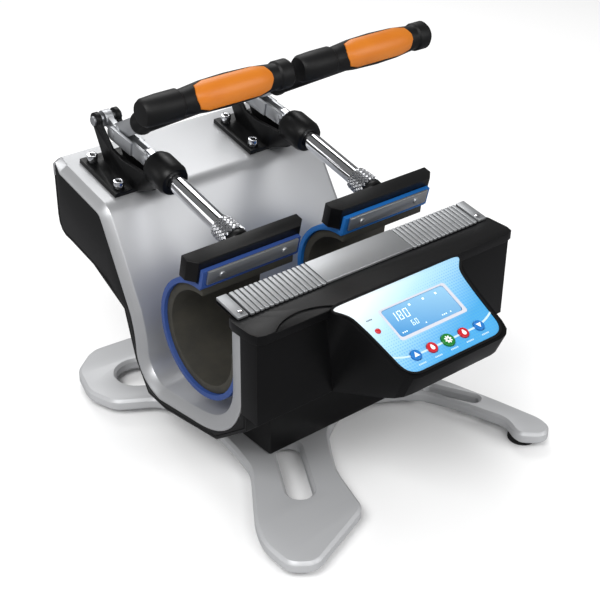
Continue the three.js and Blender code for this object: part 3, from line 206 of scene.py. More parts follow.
def black_powder_coat():
    # Black powder coat on sheet steel: dark and even, with a soft sheen and a fine orange peel
    coat = new_material("black_powder_coat", linear("#0b0b0c"), 0.0, 0.42, {"Specular IOR Level": 0.35})
    return grain(coat, size=1.2, spread=0.05, bump=0.04)


def black_moulded_abs():
    # Injection-moulded ABS with a fine spark-eroded texture: near black with a satin highlight
    plastic = new_material("black_moulded_abs", linear("#070708"), 0.0, 0.34, {"Specular IOR Level": 0.22})
    return grain(plastic, size=0.9, spread=0.05, bump=0.02)


def black_enamelled_casting():
    # Enamelled cast iron: black, a little uneven, with a low sheen
    iron = new_material("black_enamelled_casting", linear("#070708"), 0.0, 0.4, {"Specular IOR Level": 0.3})
    return grain(iron, size=2.2, spread=0.08, bump=0.09)


def chrome_plate():
    # Hard chrome on a ground rod: bright mirror with the faintest turning marks round it
    chrome = new_material("chrome_plate", linear("#e4e5e8"), 1.0, 0.07)
    return grain(chrome, size=1.5, spread=0.02, bump=0.002)


def knurled_steel():
    # Rolled knurl under thin chrome: bright on the crests, softer than the ground rod
    steel = new_material("knurled_steel", linear("#c9cacd"), 1.0, 0.26)
    return grain(steel, size=1.0, spread=0.05, bump=0.01)


def painted_groove_shade():
    # Dark dull steel for the floors of the knurl's and the ribbed bar's grooves: painted shade, the grooves'
    # shadow put into the colour
    steel = new_material("painted_groove_shade", linear("#2c2d2f"), 1.0, 0.5)
    return grain(steel, size=1.0, spread=0.06, bump=0.01)


def zinc_plated_steel():
    # Zinc-plated pressed steel: grey metal with a soft directional grain
    steel = new_material("zinc_plated_steel", linear("#c3c5c8"), 1.0, 0.48)
    return grain(steel, size=4.0, spread=0.08, bump=0.02, stretch=(1, 6, 6))


def brushed_aluminium():
    # Brushed aluminium extrusion: pale grey with fine lines along its length
    aluminium = new_material("brushed_aluminium", linear("#bfc1c3"), 1.0, 0.52)
    return grain(aluminium, size=6.0, spread=0.08, bump=0.02, stretch=(1, 14, 14))


def soft_touch_rubber():
    # Moulded soft-touch rubber: black with a broad dull sheen and a fine grain
    rubber = new_material("soft_touch_rubber", linear("#0a0a0b"), 0.0, 0.5, {"Specular IOR Level": 0.3})
    return grain(rubber, size=0.8, spread=0.07, bump=0.04)


def orange_polypropylene():
    # Moulded polypropylene insert: strong orange, satin, a little deeper in places
    plastic = new_material("orange_polypropylene", linear("#c96e10"), 0.0, 0.4, {"IOR": 1.49})
    return grain(tinted(plastic, 24, linear("#bd640b"), linear("#cf7a18")), size=0.7, spread=0.05, bump=0.02)


def blue_silicone(name, colour):
    # Cured silicone rubber skin of the heater mat: saturated blue with a soft sheen
    return grain(new_material(name, colour, 0.0, 0.48, {"IOR": 1.42}), size=1.1, spread=0.06, bump=0.05)


def dark_silicone():
    # Heat-conducting silicone sponge inside the mat: dark, matt and slightly pitted
    sponge = new_material("dark_silicone", linear("#34322c"), 0.0, 0.8)
    return grain(tinted(sponge, 14, linear("#2b2a26"), linear("#3e3b32")), size=0.9, spread=0.08, bump=0.12)


def black_rubber():
    # Vulcanised rubber foot: dull black
    return grain(new_material("black_rubber", linear("#161616"), 0.0, 0.8), size=1.5, spread=0.08, bump=0.08)


def gloss_plastic(name, colour):
    # Glossy moulded acrylic cap: clean colour with a tight highlight
    acrylic = new_material(name, colour, 0.0, 0.2, {"IOR": 1.49, "Coat Weight": 0.3})
    return grain(acrylic, size=2.0, spread=0.03, bump=0.01)


def print_ink(name, colour, glow=0.0):
    # Screen-printed ink: flat and matt
    ink = new_material(name, colour, 0.0, 0.5)
    if glow:
        fill(shader_of(ink), {"Emission Color": colour, "Emission Strength": glow})
    return grain(ink, size=0.6, spread=0.05, bump=0.005)


def circuit_board():
    # Glass-epoxy board under green solder mask
    board = new_material("solder_masked_board", linear("#1f5a35"), 0.0, 0.45)
    return grain(tinted(board, 6, linear("#194c2c"), linear("#27693f")), size=1.0, spread=0.08, bump=0.02)


def place_on_panel(tree):
    """Nodes that give a point's place in the panel's frame, whole and split."""
    place = add_node(tree, "ShaderNodeTexCoord")
    flat = add_node(tree, "ShaderNodeMapping", {
        "Vector": place.outputs["Object"], "Location": -PANEL.translation,
    })
    turned = add_node(tree, "ShaderNodeVectorRotate", {
        "Vector": flat, "Angle": -PANEL_TILT,
    }, rotation_type="X_AXIS")
    return turned, add_node(tree, "ShaderNodeSeparateXYZ", {"Vector": turned})


def slope_over(tree, split, ramps):
    """The sum of two ramps over the panel, each from an axis, where it starts and ends, and its height."""
    rises = [add_node(tree, "ShaderNodeMapRange", {
        "Value": split.outputs[axis], "From Min": start * MM, "From Max": end * MM, "To Max": height,
    }) for axis, start, end, height in ramps]
    return add_node(tree, "ShaderNodeMath", {0: rises[0], 1: rises[1]}, operation="ADD")


def display_glass():
    # Acrylic lens over a blue liquid-crystal display: deep blue, lighter towards its upper right, glossy
    lens = new_material("display_lens", linear("#2f74c8"), 0.0, 0.12, {
        "IOR": 1.49, "Emission Color": linear("#2f7fd4"), "Emission Strength": 0.12,
    })
    split = place_on_panel(lens.node_tree)[1]
    slope = slope_over(lens.node_tree, split, (("X", -34, 34, 0.5), ("Y", -48, -19, 0.5)))
    mix_colour(lens, slope, linear("#3f86bd"), linear("#9ccde8"))
    return grain(lens, size=3.0, spread=0.02, bump=0.002)


def printed_film():
    # Polyester membrane printed from behind: white at its upper left, then sky blue with a field of dots
    film = new_material("printed_polyester_film", linear("#63bdf0"), 0.0, 0.28, {"IOR": 1.57})
    dot_pitch, dot_strength = 2.6, 0.45
    tree = film.node_tree
    turned, split = place_on_panel(tree)
    slope = slope_over(tree, split, (("X", -60, 60, 0.5), ("Y", 0, -79, 0.72)))
    ramp = add_node(tree, "ShaderNodeValToRGB", {"Fac": slope})
    white, sky = ramp.color_ramp.elements
    white.position, white.color = 0.05, linear("#f4f9fc")
    sky.position, sky.color = 0.9, linear("#52a9db")
    ramp.color_ramp.elements.new(0.4).color = linear("#b4def4")
    dots = add_node(tree, "ShaderNodeTexVoronoi", {
        "Vector": turned, "Scale": 1 / (dot_pitch * MM), "Randomness": 0.0,
    })
    size = add_node(tree, "ShaderNodeMapRange", {
        "Value": slope, "From Min": 0.2, "From Max": 0.75, "To Max": 0.42,
    })
    inside = add_node(tree, "ShaderNodeMath", {0: dots, 1: size}, operation="LESS_THAN")
    fade = add_node(tree, "ShaderNodeMath", {0: inside, 1: dot_strength}, operation="MULTIPLY")
    mix_colour(film, fade, ramp, linear("#2f9ae6"))
    return film


MATERIALS = {}


def make_materials(settings):
    """Every finish of the press, made once."""
    MATERIALS.update({
        "silver": silver_powder_coat("silver_powder_coat", (*settings.shell_colour, 1.0), 0.66),
        "foot_silver": silver_powder_coat("cast_silver_coat", (*settings.foot_colour, 1.0), 0.2),
        "casing": black_powder_coat(),
        "abs": black_moulded_abs(),
        "casting": black_enamelled_casting(),
        "chrome": chrome_plate(),
        "knurl": knurled_steel(),
        "groove_shade": painted_groove_shade(),
        "steel": zinc_plated_steel(),
        "aluminium": brushed_aluminium(),
        "grip": soft_touch_rubber(),
        "orange": orange_polypropylene(),
        "mat_left": blue_silicone("deep_blue_silicone", (*settings.left_mat_colour, 1.0)),
        "mat_right": blue_silicone("blue_silicone", (*settings.right_mat_colour, 1.0)),
        "liner": dark_silicone(),
        "foot": black_rubber(),
        "film": printed_film(),
        "lens": display_glass(),
        "board": circuit_board(),
        "blue": gloss_plastic("blue_acrylic", linear("#2374c0")),
        "red": gloss_plastic("red_acrylic", linear("#c31c28")),
        "green": gloss_plastic("green_acrylic", linear("#1a7a2a")),
        "white_ink": print_ink("white_ink", linear("#f6f8fa")),
        "pale_ink": print_ink("pale_blue_ink", linear("#c6dfee")),
        "digit": print_ink("lit_segments", linear("#e9f6ff"), 0.6),
        "rose": print_ink("rose_ink", linear("#cfd2dc")),
        "dark_ink": print_ink("dark_ink", linear("#2a3a4a")),
    })


# Mesh helpers

def linked(name, data):
    """An object of the data, put in the scene."""
    obj = bpy.data.objects.new(name, data)
    bpy.context.scene.collection.objects.link(obj)
    return obj


def baked(holder):
    """The mesh that the holder's curve or modifiers come out as, with the holder removed."""
    bpy.context.view_layer.update()
    mesh = bpy.data.meshes.new_from_object(holder.evaluated_get(bpy.context.evaluated_depsgraph_get()))
    bpy.data.objects.remove(holder)
    return mesh


def bevelled(mesh, width, segments=2, limit=32):
    """The mesh with its edges sharper than the limit, in degrees, rounded by a width in metres."""
    holder = linked("seed", mesh)
    rounding = holder.modifiers.new("edge", "BEVEL")
    rounding.width = width
    rounding.segments = segments
    rounding.limit_method = "ANGLE"
    rounding.angle_limit = math.radians(limit)
    return baked(holder)


def piece(name, mesh, material, node, bevel=0.0, segments=2, limit=32, stands_for=True,
          bends=None):
    """A finished piece: bevelled, shaded, given its material, and riding on its node's body. Given bends, it rides
    on no body and only has its place baked in; nothing bends it.
    """
    if bevel:
        mesh = bevelled(mesh, bevel, segments, limit)
    mesh.materials.clear()
    mesh.materials.append(MATERIALS[material])
    mesh.shade_smooth()
    mesh.set_sharp_from_angle(angle=math.radians(limit))
    obj = linked(name, mesh)
    if bends:
        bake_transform(obj)
    else:
        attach(obj, BODY_OF[node])
    if stands_for:
        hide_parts(node)
    return obj


def mesh_of(name, work):
    """The bmesh as a mesh."""
    mesh = bpy.data.meshes.new(name)
    work.to_mesh(mesh)
    work.free()
    return mesh


def merged_copy(node):
    """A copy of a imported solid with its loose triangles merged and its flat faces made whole."""
    work = bmesh.new()
    work.from_mesh(NODES[node].data)
    bmesh.ops.remove_doubles(work, verts=work.verts, dist=0.02 * MM)
    bmesh.ops.dissolve_limit(work, angle_limit=math.radians(0.8), verts=work.verts, edges=work.edges)
    return mesh_of(node + "_mesh", work)


def dressed(node, material, bevel, segments=2, limit=32, bends=None):
    """The node's own shape with softened edges and its finish."""
    return piece(node + "_finished", merged_copy(node), material, node, bevel, segments, limit, bends=bends)


def mesh_from(name, vertices, faces, matrix=UNMOVED):
    """A mesh with outward faces from vertices in millimetres, placed by a matrix."""
    work = bmesh.new()
    points = [work.verts.new([c * MM for c in vertex]) for vertex in vertices]
    for face in faces:
        work.faces.new([points[i] for i in face])
    bmesh.ops.remove_doubles(work, verts=work.verts, dist=0.001 * MM)
    bmesh.ops.transform(work, matrix=matrix, verts=work.verts)
    bmesh.ops.recalc_face_normals(work, faces=work.faces)
    return mesh_of(name, work)


def loft_faces(rings, sides, closed=False):
    """Quads between rings of equal length, and flat ends unless the rings close on themselves."""
    faces = []
    for ring in range(rings if closed else rings - 1):
        near, far = ring * sides, (ring + 1) % rings * sides
        for side in range(sides):
            step = (side + 1) % sides
            faces.append([near + side, near + step, far + step, far + side])
    if not closed:
        faces.append(list(range(sides)))
        faces.append([(rings - 1) * sides + side for side in range(sides)])
    return faces


def lathe(name, profile, sides, matrix):
    """A turned solid from (distance along X, radius) rows."""
    vertices = [(along, y, z) for along, radius in profile for y, z in circle_outline(0, 0, radius, sides)]
    return mesh_from(name, vertices, loft_faces(len(profile), sides), matrix)


def slab(name, outline, x_low, x_high, matrix=UNMOVED):
    """A solid of one outline in Y and Z, from one X to another."""
    vertices = [(x, y, z) for x in (x_low, x_high) for y, z in outline]
    return mesh_from(name, vertices, loft_faces(2, len(outline)), matrix)


def plates(name, outlines, low, high, matrix=UNMOVED):
    """Flat solids of outlines in X and Y, from one Z to another."""
    vertices, faces = [], []
    for outline in outlines:
        first = len(vertices)
        vertices += [(x, y, z) for z in (low, high) for x, y in outline]
        faces += [[first + index for index in face] for face in loft_faces(2, len(outline))]
    return mesh_from(name, vertices, faces, matrix)


# Keeps the reach of a sharp corner down to 2.5 times its depth
LEAST_MITRE = 0.4


def offset_path(path, depths):
    """The path moved to its left by a depth at each point."""
    points = [Vector(point) for point in path]
    ways = [(after - before).normalized() for before, after in zip(points, points[1:])]
    rows = []
    for index, (point, depth) in enumerate(zip(path, depths)):
        into, out = ways[max(index - 1, 0)], ways[min(index, len(ways) - 1)]
        mean = (into + out).normalized()
        reach = depth / max(mean.dot(into), LEAST_MITRE)
        rows.append((point[0] - mean.y * reach, point[1] + mean.x * reach))
    return rows


def curve_points(start, control, end, steps):
    """Points of a quadratic curve."""
    rows = []
    for step in range(steps + 1):
        t = step / steps
        rows.append(tuple(
            (1 - t) ** 2 * a + 2 * t * (1 - t) * b + t * t * c for a, b, c in zip(start, control, end)
        ))
    return rows


def rounded(points, radius, share=0.4995, steps=5):
    """A closed outline with its corners turned into curves, which take at most a share of each side."""
    outline = []
    for index, corner in enumerate(points):
        corner = Vector(corner)
        before, after = Vector(points[index - 1]), Vector(points[(index + 1) % len(points)])
        start = corner.lerp(before, min(radius / (corner - before).length, share))
        end = corner.lerp(after, min(radius / (corner - after).length, share))
        outline += curve_points(start, corner, end, steps)
    return outline


def circle_outline(x, y, radius, sides=32):
    angles = [math.tau * side / sides for side in range(sides)]
    return [(x + radius * math.cos(angle), y + radius * math.sin(angle)) for angle in angles]


def filled_outlines(name, outlines, edge, thickness, matrix, steps=2):
    """A plate between outlines, the first its border and the rest its holes, with worked edges."""
    curve = bpy.data.curves.new(name, "CURVE")
    curve.dimensions = "2D"
    curve.fill_mode = "BOTH"
    for outline in outlines:
        spline = curve.splines.new("POLY")
        spline.points.add(len(outline) - 1)
        for point, (x, y) in zip(spline.points, outline):
            point.co = (x * MM, y * MM, 0, 1)
        spline.use_cyclic_u = True
    curve.bevel_depth = edge * MM
    curve.bevel_resolution = steps
    curve.offset = -edge * MM
    curve.extrude = (thickness / 2 - edge) * MM
    work = bmesh.new()
    work.from_mesh(baked(linked(name, curve)))
    bmesh.ops.remove_doubles(work, verts=work.verts, dist=0.005 * MM)
    bmesh.ops.transform(work, matrix=matrix, verts=work.verts)
    bmesh.ops.recalc_face_normals(work, faces=work.faces)
    return mesh_of(name, work)


# Geometry Nodes

def new_tree(name, **sockets):
    """A tree that takes a mesh, a material and the named inputs, and the outputs of its input node."""
    tree = bpy.data.node_groups.new(name, "GeometryNodeTree")
    for key, kind in {"Geometry": "Geometry", **sockets, "Material": "Material"}.items():
        tree.interface.new_socket(key, in_out="INPUT", socket_type="NodeSocket" + kind)
    tree.interface.new_socket("Geometry", in_out="OUTPUT", socket_type="NodeSocketGeometry")
    return tree, add_node(tree, "NodeGroupInput").outputs


def end_in_copies(tree, given, inputs):
    """Ends a tree in real copies of its mesh in its material."""
    copies = add_node(tree, "GeometryNodeInstanceOnPoints", {"Instance": given["Geometry"], **inputs})
    real = add_node(tree, "GeometryNodeRealizeInstances", {"Geometry": copies})
    painted = add_node(tree, "GeometryNodeSetMaterial", {"Geometry": real, "Material": given["Material"]})
    add_node(tree, "NodeGroupOutput", {"Geometry": painted})
    return tree


def row_of_copies():
    """Copies of the incoming mesh in a straight row."""
    tree, given = new_tree("row_of_copies", Count="Int", Pitch="Vector")
    line = add_node(tree, "GeometryNodeMeshLine", {"Count": given["Count"], "Offset": given["Pitch"]})
    return end_in_copies(tree, given, {"Points": line})


def knurl_of_copies():
    """Copies of the incoming mesh in staggered rings round the Y axis, each turned outwards."""
    tree, given = new_tree(
        "knurl_of_copies", Around="Int", Rings="Int", Radius="Float", Flare="Float", Pitch="Float",
    )
    around = given["Around"]
    index = add_node(tree, "GeometryNodeInputIndex")
    total = add_node(tree, "ShaderNodeMath", {0: around, 1: given["Rings"]}, operation="MULTIPLY")
    share = add_node(tree, "ShaderNodeMath", {0: index, 1: around}, operation="DIVIDE")
    ring = add_node(tree, "ShaderNodeMath", {0: share}, operation="FLOOR")
    along = add_node(tree, "ShaderNodeMath", {0: ring, 1: given["Pitch"]}, operation="MULTIPLY")
    reach = add_node(tree, "ShaderNodeMath", {
        0: ring, 1: given["Flare"], 2: given["Radius"],
    }, operation="MULTIPLY_ADD")
    place = add_node(tree, "ShaderNodeMath", {0: ring, 1: 0.5, 2: index}, operation="MULTIPLY_ADD")
    turns = add_node(tree, "ShaderNodeMath", {0: place, 1: around}, operation="DIVIDE")
    angle = add_node(tree, "ShaderNodeMath", {0: turns, 1: -math.tau}, operation="MULTIPLY")
    straight = add_node(tree, "ShaderNodeCombineXYZ", {"X": reach, "Y": along})
    spot = add_node(tree, "ShaderNodeVectorRotate", {
        "Vector": straight, "Angle": angle,
    }, rotation_type="Y_AXIS")
    facing = add_node(tree, "ShaderNodeCombineXYZ", {"Y": angle})
    points = add_node(tree, "GeometryNodePoints", {"Count": total, "Position": spot})
    return end_in_copies(tree, given, {"Points": points, "Rotation": facing})


def grown(mesh, build_tree, matrix, **inputs):
    """The mesh that a node tree makes from another, placed by a matrix."""
    tree = bpy.data.node_groups.get(build_tree.__name__) or build_tree()
    holder = linked("seed", mesh)
    modifier = holder.modifiers.new("nodes", "NODES")
    modifier.node_group = tree
    for item in tree.interface.items_tree:
        if item.in_out == "INPUT" and item.name in inputs:
            modifier[item.identifier] = inputs[item.name]
    made = baked(holder)
    made.transform(matrix)
    return made


def joined(name, *meshes):
    """Several meshes as one."""
    work = bmesh.new()
    for mesh in meshes:
        work.from_mesh(mesh)
    return mesh_of(name, work)


# Sizes and colours that a user would change

def colour_property(name, description, hex_colour):
    return bpy.props.FloatVectorProperty(
        name=name, description=description, subtype="COLOR", size=3, min=0, max=1,
        default=linear(hex_colour)[:3],
    )


class PressSettings(bpy.types.PropertyGroup):
    shell_colour: colour_property("Shell colour", "Powder coat of the silver shell", "#bdbec0")
    foot_colour: colour_property("Foot colour", "Powder coat of the foot plate", "#bcbdbf")
    left_mat_colour: colour_property("Left mat colour", "Silicone skin of the left heater mat", "#2b4580")
    right_mat_colour: colour_property("Right mat colour", "Silicone skin of the right heater mat", "#1660a6")
    edge: bpy.props.FloatProperty(
        name="Edge radius", description="Rounding of pressed and cast edges",
        default=0.8 * MM, min=0.1 * MM, max=3 * MM, unit="LENGTH",
    )
    knurl_around: bpy.props.IntProperty(
        name="Knurls around", description="Diamonds in each ring of an adjuster", default=18, min=8, max=60,
    )
    knurl_rings: bpy.props.IntProperty(
        name="Knurl rings", description="Rings of diamonds along each adjuster", default=9, min=3, max=30,
    )
    rib_count: bpy.props.IntProperty(
        name="Ribs", description="Ribs at each end of the metal bar", default=16, min=2, max=18,
    )


class StageSettings(bpy.types.PropertyGroup):
    lens: bpy.props.FloatProperty(
        name="Lens", description="Focal length of the camera", default=76.56, min=20, max=200, unit="CAMERA",
    )
    floor_colour: colour_property("Floor colour", "Colour of the floor and the backdrop", "#ffffff")


# The silver shell, the casing and the foot plate. The shell's points are in Y and Z

SHELL_FRONT_HALF = 130
SHELL_REAR_HALF = 118
SHEET = 3
RIM_CHAMFER = 7
RIM_SKIRT = 2
REAR_RIM_CHAMFER = 3
FRONT_RIM_CHAMFER = 19
DECK_FRONT_Y, DECK_FRONT_Z = 151, 203
DECK_REAR_Y = 219
DECK_REAR_Z = DECK_FRONT_Z + (DECK_REAR_Y - DECK_FRONT_Y) * math.tan(TILT)
DECK_ROUNDING = 8
REAR_BEND = (228, DECK_REAR_Z + 5)
REAR_WALL_Y = 236
REAR_WALL_HEIGHT = 13
SLANT_TOP = (145.6, 194)
SLANT_FOOT = (102, 121)
TROUGH_REAR = (94, 82)
HEEL_CONTROL = (91.2, 61.3)
TROUGH_LOWEST = (66, 59)
TOE_START = (12, 70)
TOE_CONTROL_Z = 80.8
FRONT_WALL_Y = -44.3
FRONT_WALL_FOOT_Z = 124
FRONT_WALL_TOP_Z = 184


def shell_path():
    """The shell's centre line, from the rear rim to the top of the front wall."""
    deck_start = (DECK_FRONT_Y + DECK_ROUNDING, DECK_FRONT_Z + DECK_ROUNDING * math.tan(TILT))
    slant_control = (TROUGH_REAR[0], (TROUGH_REAR[1] + SLANT_FOOT[1]) / 2)
    return [
        (REAR_WALL_Y, DECK_REAR_Z - REAR_WALL_HEIGHT), (REAR_WALL_Y, DECK_REAR_Z), REAR_BEND,
        (DECK_REAR_Y, DECK_REAR_Z),
        *curve_points(deck_start, (DECK_FRONT_Y, DECK_FRONT_Z), SLANT_TOP, 5),
        *curve_points(SLANT_FOOT, slant_control, TROUGH_REAR, 10),
        *curve_points(TROUGH_REAR, HEEL_CONTROL, TROUGH_LOWEST, 12)[1:],
        *curve_points(TOE_START, (FRONT_WALL_Y, TOE_CONTROL_Z), (FRONT_WALL_Y, FRONT_WALL_FOOT_Z), 18),
        (FRONT_WALL_Y, FRONT_WALL_TOP_Z),
    ]


def shell_half(y):
    """Half the shell's flat width, which flares from the deck to the front wall."""
    length = DECK_FRONT_Y - FRONT_WALL_Y
    flare = (SHELL_FRONT_HALF - SHELL_REAR_HALF) / length
    return SHELL_REAR_HALF + min(max(DECK_FRONT_Y - y, 0), length) * flare


def rim_chamfer(point):
    """Depth of the rim's chamfer, which grows up the front wall."""
    y, z = point
    if y > DECK_REAR_Y:
        return REAR_RIM_CHAMFER
    if y >= TOE_START[0]:
        return RIM_CHAMFER
    share = min(max((z - TOE_START[1]) / (FRONT_WALL_FOOT_Z - TOE_START[1]), 0), 1)
    return RIM_CHAMFER + (FRONT_RIM_CHAMFER - RIM_CHAMFER) * share


def shell_section(point):
    """Half widths and depths of the sheet at a point, from the flat's edge round the rim."""
    chamfer = rim_chamfer(point)
    skirt = chamfer + RIM_SKIRT
    flat = shell_half(point[0])
    outer = flat + RIM_CHAMFER
    under = min(SHEET, chamfer)
    return [(flat, 0), (outer, chamfer), (outer, skirt), (outer - SHEET, skirt), (flat - under / 2, under)]


def shell_mesh():
    """The sheet lofted along its path, with both halves of its section."""
    path = shell_path()
    lanes = []
    for corners in zip(*[shell_section(point) for point in path]):
        widths, depths = zip(*corners)
        lanes.append([(x, y, z) for x, (y, z) in zip(widths, offset_path(path, depths))])
    lanes += [[(-x, y, z) for x, y, z in lane] for lane in reversed(lanes)]
    vertices = [lane[ring] for ring in range(len(path)) for lane in lanes]
    return mesh_from("shell", vertices, loft_faces(len(path), len(lanes)), SHIFT)


FOOT_HALF_WIDTH = 152
FOOT_HALF_DEPTH = 187
FOOT_MIDDLE_Y = 30.5
FOOT_MIDDLE_Z = 12
FOOT_THICKNESS = 12
FOOT_CORNER = 9
FOOT_CHAMFER = 2.6
SLOT_END_STEPS = 16
# Corners as shares of the plate's half width and half depth: waist and front legs, then the right rear leg
FOOT_FRONT_SHARES = [
    (-0.63, 0.28), (-0.6, 0.05), (-0.63, -0.16), (-0.67, -0.32), (-0.84, -0.52), (-0.94, -0.64), (-1, -0.76),
    (-1, -0.93), (-0.88, -1), (-0.55, -0.9), (-0.39, -0.85), (-0.36, -0.76), (-0.29, -0.57), (-0.2, -0.45),
    (-0.1, -0.33), (0.05, -0.25), (0.2, -0.22), (0.34, -0.23), (0.51, -0.3), (0.65, -0.4), (0.74, -0.6),
    (0.82, -0.79), (0.76, -0.91), (0.88, -1), (0.97, -0.97), (1, -0.9), (0.93, -0.65), (0.84, -0.38),
    (0.74, -0.19), (0.66, 0.05), (0.66, 0.28),
]
REAR_LEG_SHARES = [
    (0.7, 0.41), (0.93, 0.52), (0.99, 0.68), (0.92, 0.88), (0.73, 1), (0.42, 0.98), (0.25, 0.82),
]
REAR_WAIST_SHARE = (0, 0.76)
# Start, end and width of the slot in each leg, in the same shares
SLOT_SHARES = [
    ((-0.39, -0.31), (-0.57, -0.58), 0.15), ((0.69, -0.37), (0.82, -0.57), 0.07),
    ((-0.4, 0.55), (-0.63, 0.67), 0.28), ((0.4, 0.55), (0.63, 0.67), 0.28),
]


def on_foot(share):
    return Vector((share[0] * FOOT_HALF_WIDTH, FOOT_MIDDLE_Y + share[1] * FOOT_HALF_DEPTH))


def foot_slot(start, end, width):
    """A slot's outline with round ends."""
    start, end, radius = on_foot(start), on_foot(end), width * FOOT_HALF_WIDTH / 2
    heading = math.atan2(*(end - start).yx)
    rows = []
    for centre, turn in ((end, -0.5), (start, 0.5)):
        for step in range(SLOT_END_STEPS + 1):
            angle = heading + math.pi * (turn + step / SLOT_END_STEPS)
            rows.append(centre + radius * Vector((math.cos(angle), math.sin(angle))))
    return rows


def foot_mesh():
    """The foot plate with a slot in each leg."""
    left_leg = [(-x, y) for x, y in reversed(REAR_LEG_SHARES)]
    corners = [*FOOT_FRONT_SHARES, *REAR_LEG_SHARES, REAR_WAIST_SHARE, *left_leg]
    outlines = [rounded([on_foot(share) for share in corners], FOOT_CORNER, steps=4)]
    outlines += [foot_slot(*row) for row in SLOT_SHARES]
    place = SHIFT @ moved(0, 0, FOOT_MIDDLE_Z)
    return filled_outlines("foot_outline", outlines, FOOT_CHAMFER, FOOT_THICKNESS, place, steps=0)


class PRESS_OT_body(bpy.types.Operator):
    """Build the foot plate, the column, the silver shell and the casing"""

    bl_idname = "press.body"
    bl_label = "Body"

    def execute(self, context):
        edge = context.scene.press_settings.edge
        piece("foot_plate", foot_mesh(), "foot_silver", "base_plate", 0.4 * MM, limit=30)
        for index in range(1, 5):
            dressed(f"foot_pad_{index}", "foot", edge)
        dressed("support_column", "casing", edge * 2)
        piece("shell", shell_mesh(), "silver", "trough_shell", edge, limit=24)
        dressed("rear_casing", "casing", edge)
        for side in SIDES:
            dressed(f"side_cover_{side}", "casing", edge * 0.5)
        return {"FINISHED"}


# The control box and the ribbed bar

BAR_HALF = 136
BAR_FRONT_Y, BAR_STEP_Y, BAR_REAR_Y = -60.6, -48.6, -32.6
BAR_BOTTOM_Z, BAR_FRONT_TOP_Z = 195.8, 198.3
BAR_REAR_BOTTOM_Z, BAR_REAR_TOP_Z = 198.3, 203.3
BAR_END_X = 126.2
LAND_PROUD = 0.3
RIB_START = 124
RIB_PITCH = 4.8
RIB_WIDTH = 4.0
RIB_PROUD = 0.9
GROOVE_DEPTH = 2.1
STUD_PLACE = (130, -55.6, 199.1)
STUD_PROFILE = [(0, 3.0), (0.5, 2.9), (1.0, 2.3), (1.25, 1.2), (1.3, 0.3)]


def bar_outline(lower, proud=0.0):
    """Side view of the bar with its top lowered and its front brought forward."""
    front_y = BAR_FRONT_Y - proud
    return [
        (front_y, BAR_BOTTOM_Z), (BAR_STEP_Y, BAR_BOTTOM_Z), (BAR_REAR_Y, BAR_REAR_BOTTOM_Z),
        (BAR_REAR_Y, BAR_REAR_TOP_Z - lower), (front_y, BAR_FRONT_TOP_Z - lower),
    ]


def ribbed_bar_mesh(rib_count):
    """A tapered bar's plain middle, two fields of ribs and plain ends."""
    inner = RIB_START - rib_count * RIB_PITCH
    parts = []
    for low, high in ((-BAR_HALF, -BAR_END_X), (-inner, inner), (BAR_END_X, BAR_HALF)):
        parts.append(bevelled(slab("land", bar_outline(0, LAND_PROUD), low, high), 0.5 * MM))
    rib = bevelled(slab("rib", bar_outline(0, RIB_PROUD), 0, RIB_WIDTH), 0.7 * MM, 3)
    for start, pitch in ((-RIB_START, RIB_PITCH), (RIB_START - RIB_WIDTH, -RIB_PITCH)):
        parts.append(grown(
            rib, row_of_copies, moved(start, 0, 0),
            Count=rib_count, Pitch=(pitch * MM, 0, 0), Material=MATERIALS["aluminium"],
        ))
    made = joined("ribbed_bar", *parts)
    made.transform(SHIFT)
    return made


class PRESS_OT_control_box(bpy.types.Operator):
    """Build the control box, its lid and the ribbed bar"""

    bl_idname = "press.control_box"
    bl_label = "Control box"

    def execute(self, context):
        settings = context.scene.press_settings
        dressed("control_box", "abs", settings.edge * 2, 3, 24)
        dressed("box_lid", "abs", settings.edge * 1.6, 3)
        piece("bar", ribbed_bar_mesh(settings.rib_count), "aluminium", "ribbed_bar", limit=40)
        # The bar's core shows between the ribs in the dark groove finish: painted shade at the floor of the
        # grooves
        core = slab("bar_core", bar_outline(GROOVE_DEPTH), -BAR_HALF, BAR_HALF, SHIFT)
        piece("bar_core", core, "groove_shade", "ribbed_bar", stands_for=False)
        x, y, z = STUD_PLACE
        for side, place in (("left", (-x, y, z)), ("right", (x, y, z))):
            stud = lathe("stud_" + side, STUD_PROFILE, 24, SHIFT @ moved(*place) @ UPRIGHT)
            piece("stud_" + side, stud, "chrome", "ribbed_bar", stands_for=False)
        return {"FINISHED"}


# The control panel, in its own frame

FILM_TOP = 0.3
FILM_THICKNESS = 1.8
FILM_HALF_TOP = 72
FILM_LENGTH = 79
FILM_CORNER = 13
# Shares of the half width and of the length, down the film's right edge
FILM_EDGE_SHARES = [(1, 0), (0.85, 0.135), (0.81, 0.215), (0.77, 0.463), (0.72, 1)]
FILM_EDGE = 0.15
LIP_OUTER, LIP_INNER, LIP_LIFT, LIP_THICKNESS = 2.2, 0.3, -0.3, 1.2
SCREEN = (-34, -47.5, 34, -19)
SCREEN_TOP = 0.2
SCREEN_CORNER = 3
# How far the display's frame reaches past the screen: left, below, right and above
FRAME_MARGINS = (2, 2.6, 3, 1.4)
FRAME_INSET = 0.2
# Name, text, height, left end and foot of the lit figures
FIGURES = (("display_figures", "180", 9, -29.5, -33.4), ("display_small_figures", "60", 5.4, -16.6, -42))
# Left ends, foot and size of the display's small marks
MARKS = (((-30, -28, -26, -5, 13, 15, 17, 22), -44.4, 1), ((-7, 8, 22), -24.5, 1.8))
BUTTON_PITCH = 17.3
BUTTON_XS = [place * BUTTON_PITCH for place in (-2, -1, 0, 1, 2)]
BUTTON_Y = -65.7
BUTTON_TOP = 1.6
BUTTON_COLOURS = ("blue", "red", "green", "red", "blue")
BUTTON_HOLES = (5.1, 5.1, 6.3, 5.1, 5.1)
LINE_BEND = ((-54, -59.2), (-44, -64.4), (-32, BUTTON_Y))
LINE_WIDTH = 1.7
HUB_RADIUS = 0.9
INK_THICKNESS = 0.06
